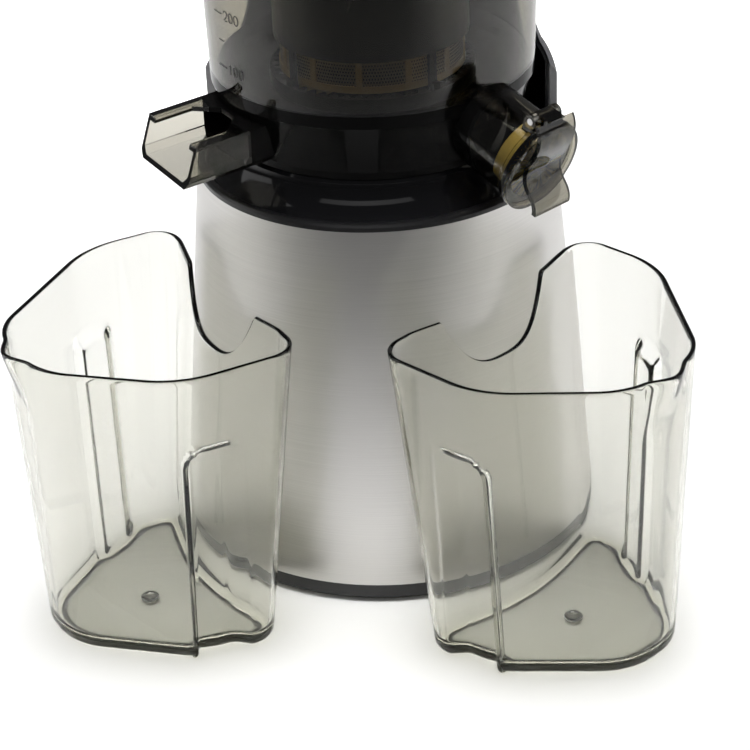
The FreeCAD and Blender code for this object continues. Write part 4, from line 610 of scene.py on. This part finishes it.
def level_marks():
    """Ticks and the numbers 100 and 200 on the left of the bowl's wall."""
    bm = bmesh.new()
    for height, start in TICKS:
        turns = [radians(start + (TICKS_END - start) * k / TICK_PARTS) for k in range(TICK_PARTS + 1)]
        stroke(bm, [(turn, height) for turn in turns])
    for word, height in NUMBERS:
        for k, shape in enumerate(word):
            azimuth = radians(NUMBERS_START) + k * (MARK_WIDE + MARK_GAP) / BOWL_FOOT_R
            digit(bm, shape, azimuth, height - MARK_TALL / 2)
    bmesh.ops.recalc_face_normals(bm, faces=bm.faces)
    piece = mesh_piece("level_marks", bm)
    piece.data.materials.append(MATS["satin_black"])
    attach(piece, "bowl")


level_marks()


# ---------------------------------------------------------------- stage, light, camera
FLOOR_HALF, FLOOR_CELLS = 3.0, 24
GLOW_START, GLOW_FULL = 0.28, 0.6                  # distances from the drive axis, in metres
SKY_SEEN, SKY_LIGHT = 0.92, 0.1                    # strength added where the sky is seen, and strength always
EYE_BACK, EYE_UP, LENS, SENSOR = 0.96866, 0.61118, 115.2, 36.0     # metres, and mm for the lens


def seen(tree):
    """1 for what the camera sees, straight or through glass alone, and 0 for rays that light or reflect."""
    ray = tree.nodes.new("ShaderNodeLightPath")
    bounces = calc(tree, "ADD", ray.outputs["Glossy Depth"], ray.outputs["Diffuse Depth"])
    unlit = calc(tree, "LESS_THAN", bounces, 0.5)
    through = calc(tree, "MULTIPLY", ray.outputs["Is Transmission Ray"], unlit)
    return calc(tree, "MAXIMUM", ray.outputs["Is Camera Ray"], through)


def floor():
    """Plain pale paper, whose far part glows like a lit backdrop, so that it is pale from every side."""
    bm = bmesh.new()
    bmesh.ops.create_grid(bm, x_segments=FLOOR_CELLS, y_segments=FLOOR_CELLS, size=FLOOR_HALF)
    plane = mesh_piece("floor", bm)
    mat, tree, out = material("floor_paper")
    shader = principled(tree, out, (0.86, 0.86, 0.86), 0.7)
    shade = ramp(tree, noise(tree, 3, 2).outputs[0], [(0.3, (0.85,) * 3), (0.7, (0.87,) * 3)])
    tree.links.new(shade.outputs[0], shader.inputs["Base Color"])
    x, y, _ = place_split(tree)
    glow = span(tree, length(tree, x, y), 0.0, 1.0)
    glow.inputs["From Min"].default_value, glow.inputs["From Max"].default_value = GLOW_START, GLOW_FULL
    glow.interpolation_type = "SMOOTHSTEP"
    light = add(tree, "ShaderNodeEmission", Color=(1, 1, 1, 1))
    tree.links.new(calc(tree, "MULTIPLY", glow.outputs[0], seen(tree)), light.inputs["Strength"])
    both = tree.nodes.new("ShaderNodeAddShader")
    tree.links.new(shader.outputs[0], both.inputs[0])
    tree.links.new(light.outputs[0], both.inputs[1])
    tree.links.new(both.outputs[0], out.inputs["Surface"])
    plane.data.materials.append(mat)


def sky():
    """Even pale world, brighter to the eye than as a lamp."""
    world = bpy.data.worlds.new("studio")
    scene.world = world
    world.use_nodes = True
    tree = world.node_tree
    background = tree.nodes["Background"]
    background.inputs["Color"].default_value = (1, 1, 1, 1)
    strength = calc(tree, "ADD", calc(tree, "MULTIPLY", seen(tree), SKY_SEEN), SKY_LIGHT)
    tree.links.new(strength, background.inputs["Strength"])


def softbox(name, place, aim, size, power, beam=180, mirrored=True):
    """Soft rectangular lamp, of a size in metres, a power in watts and a beam angle in degrees."""
    data = bpy.data.lights.new(name, "AREA")
    data.spread = radians(beam)
    data.shape = "RECTANGLE"
    data.size, data.size_y = size
    data.energy = power
    lamp = bpy.data.objects.new(name, data)
    scene.collection.objects.link(lamp)
    lamp.visible_glossy = mirrored
    lamp.location = place
    lamp.rotation_mode = "QUATERNION"
    lamp.rotation_quaternion = (Vector(aim) - Vector(place)).to_track_quat("-Z", "Y")


def camera():
    """Camera at the viewing angle worked out from the rings of the base and the bowl."""
    azimuth, pitch, yaw, roll = radians(8.5), radians(29.57), radians(-0.28), radians(-2.45)
    turn = Matrix.Rotation(azimuth, 3, "Z")
    ahead = turn @ Vector((sin(yaw) * cos(pitch), cos(yaw) * cos(pitch), -sin(pitch)))
    level = turn @ Vector((cos(yaw), -sin(yaw), 0))
    above = level.cross(ahead)
    right = level * cos(roll) + above * sin(roll)
    up = above * cos(roll) - level * sin(roll)
    data = bpy.data.cameras.new("camera")
    data.sensor_width = SENSOR
    data.lens = LENS
    data.clip_start, data.clip_end = 0.05, 20
    eye = bpy.data.objects.new("camera", data)
    scene.collection.objects.link(eye)
    place = Matrix.Translation(turn @ Vector((0, -EYE_BACK, EYE_UP)))
    eye.matrix_world = place @ Matrix((right, up, -ahead)).transposed().to_4x4()
    scene.camera = eye


sky()
floor()
softbox("top_box", (0.0, 0.3, 1.0), (0, 0.3, 0), (2.2, 1.3), 11, beam=40, mirrored=False)
softbox("left_box", (-1.2, -0.1, 0.7), (0, 0, 0.15), (0.7, 1.2), 3)
softbox("right_box", (1.2, 0.1, 0.7), (0, 0, 0.15), (0.7, 1.2), 3)
softbox("front_strip", (0.0, -1.2, 1.0), (0, 0, 0.18), (1.6, 0.3), 0.7, beam=120)
camera()
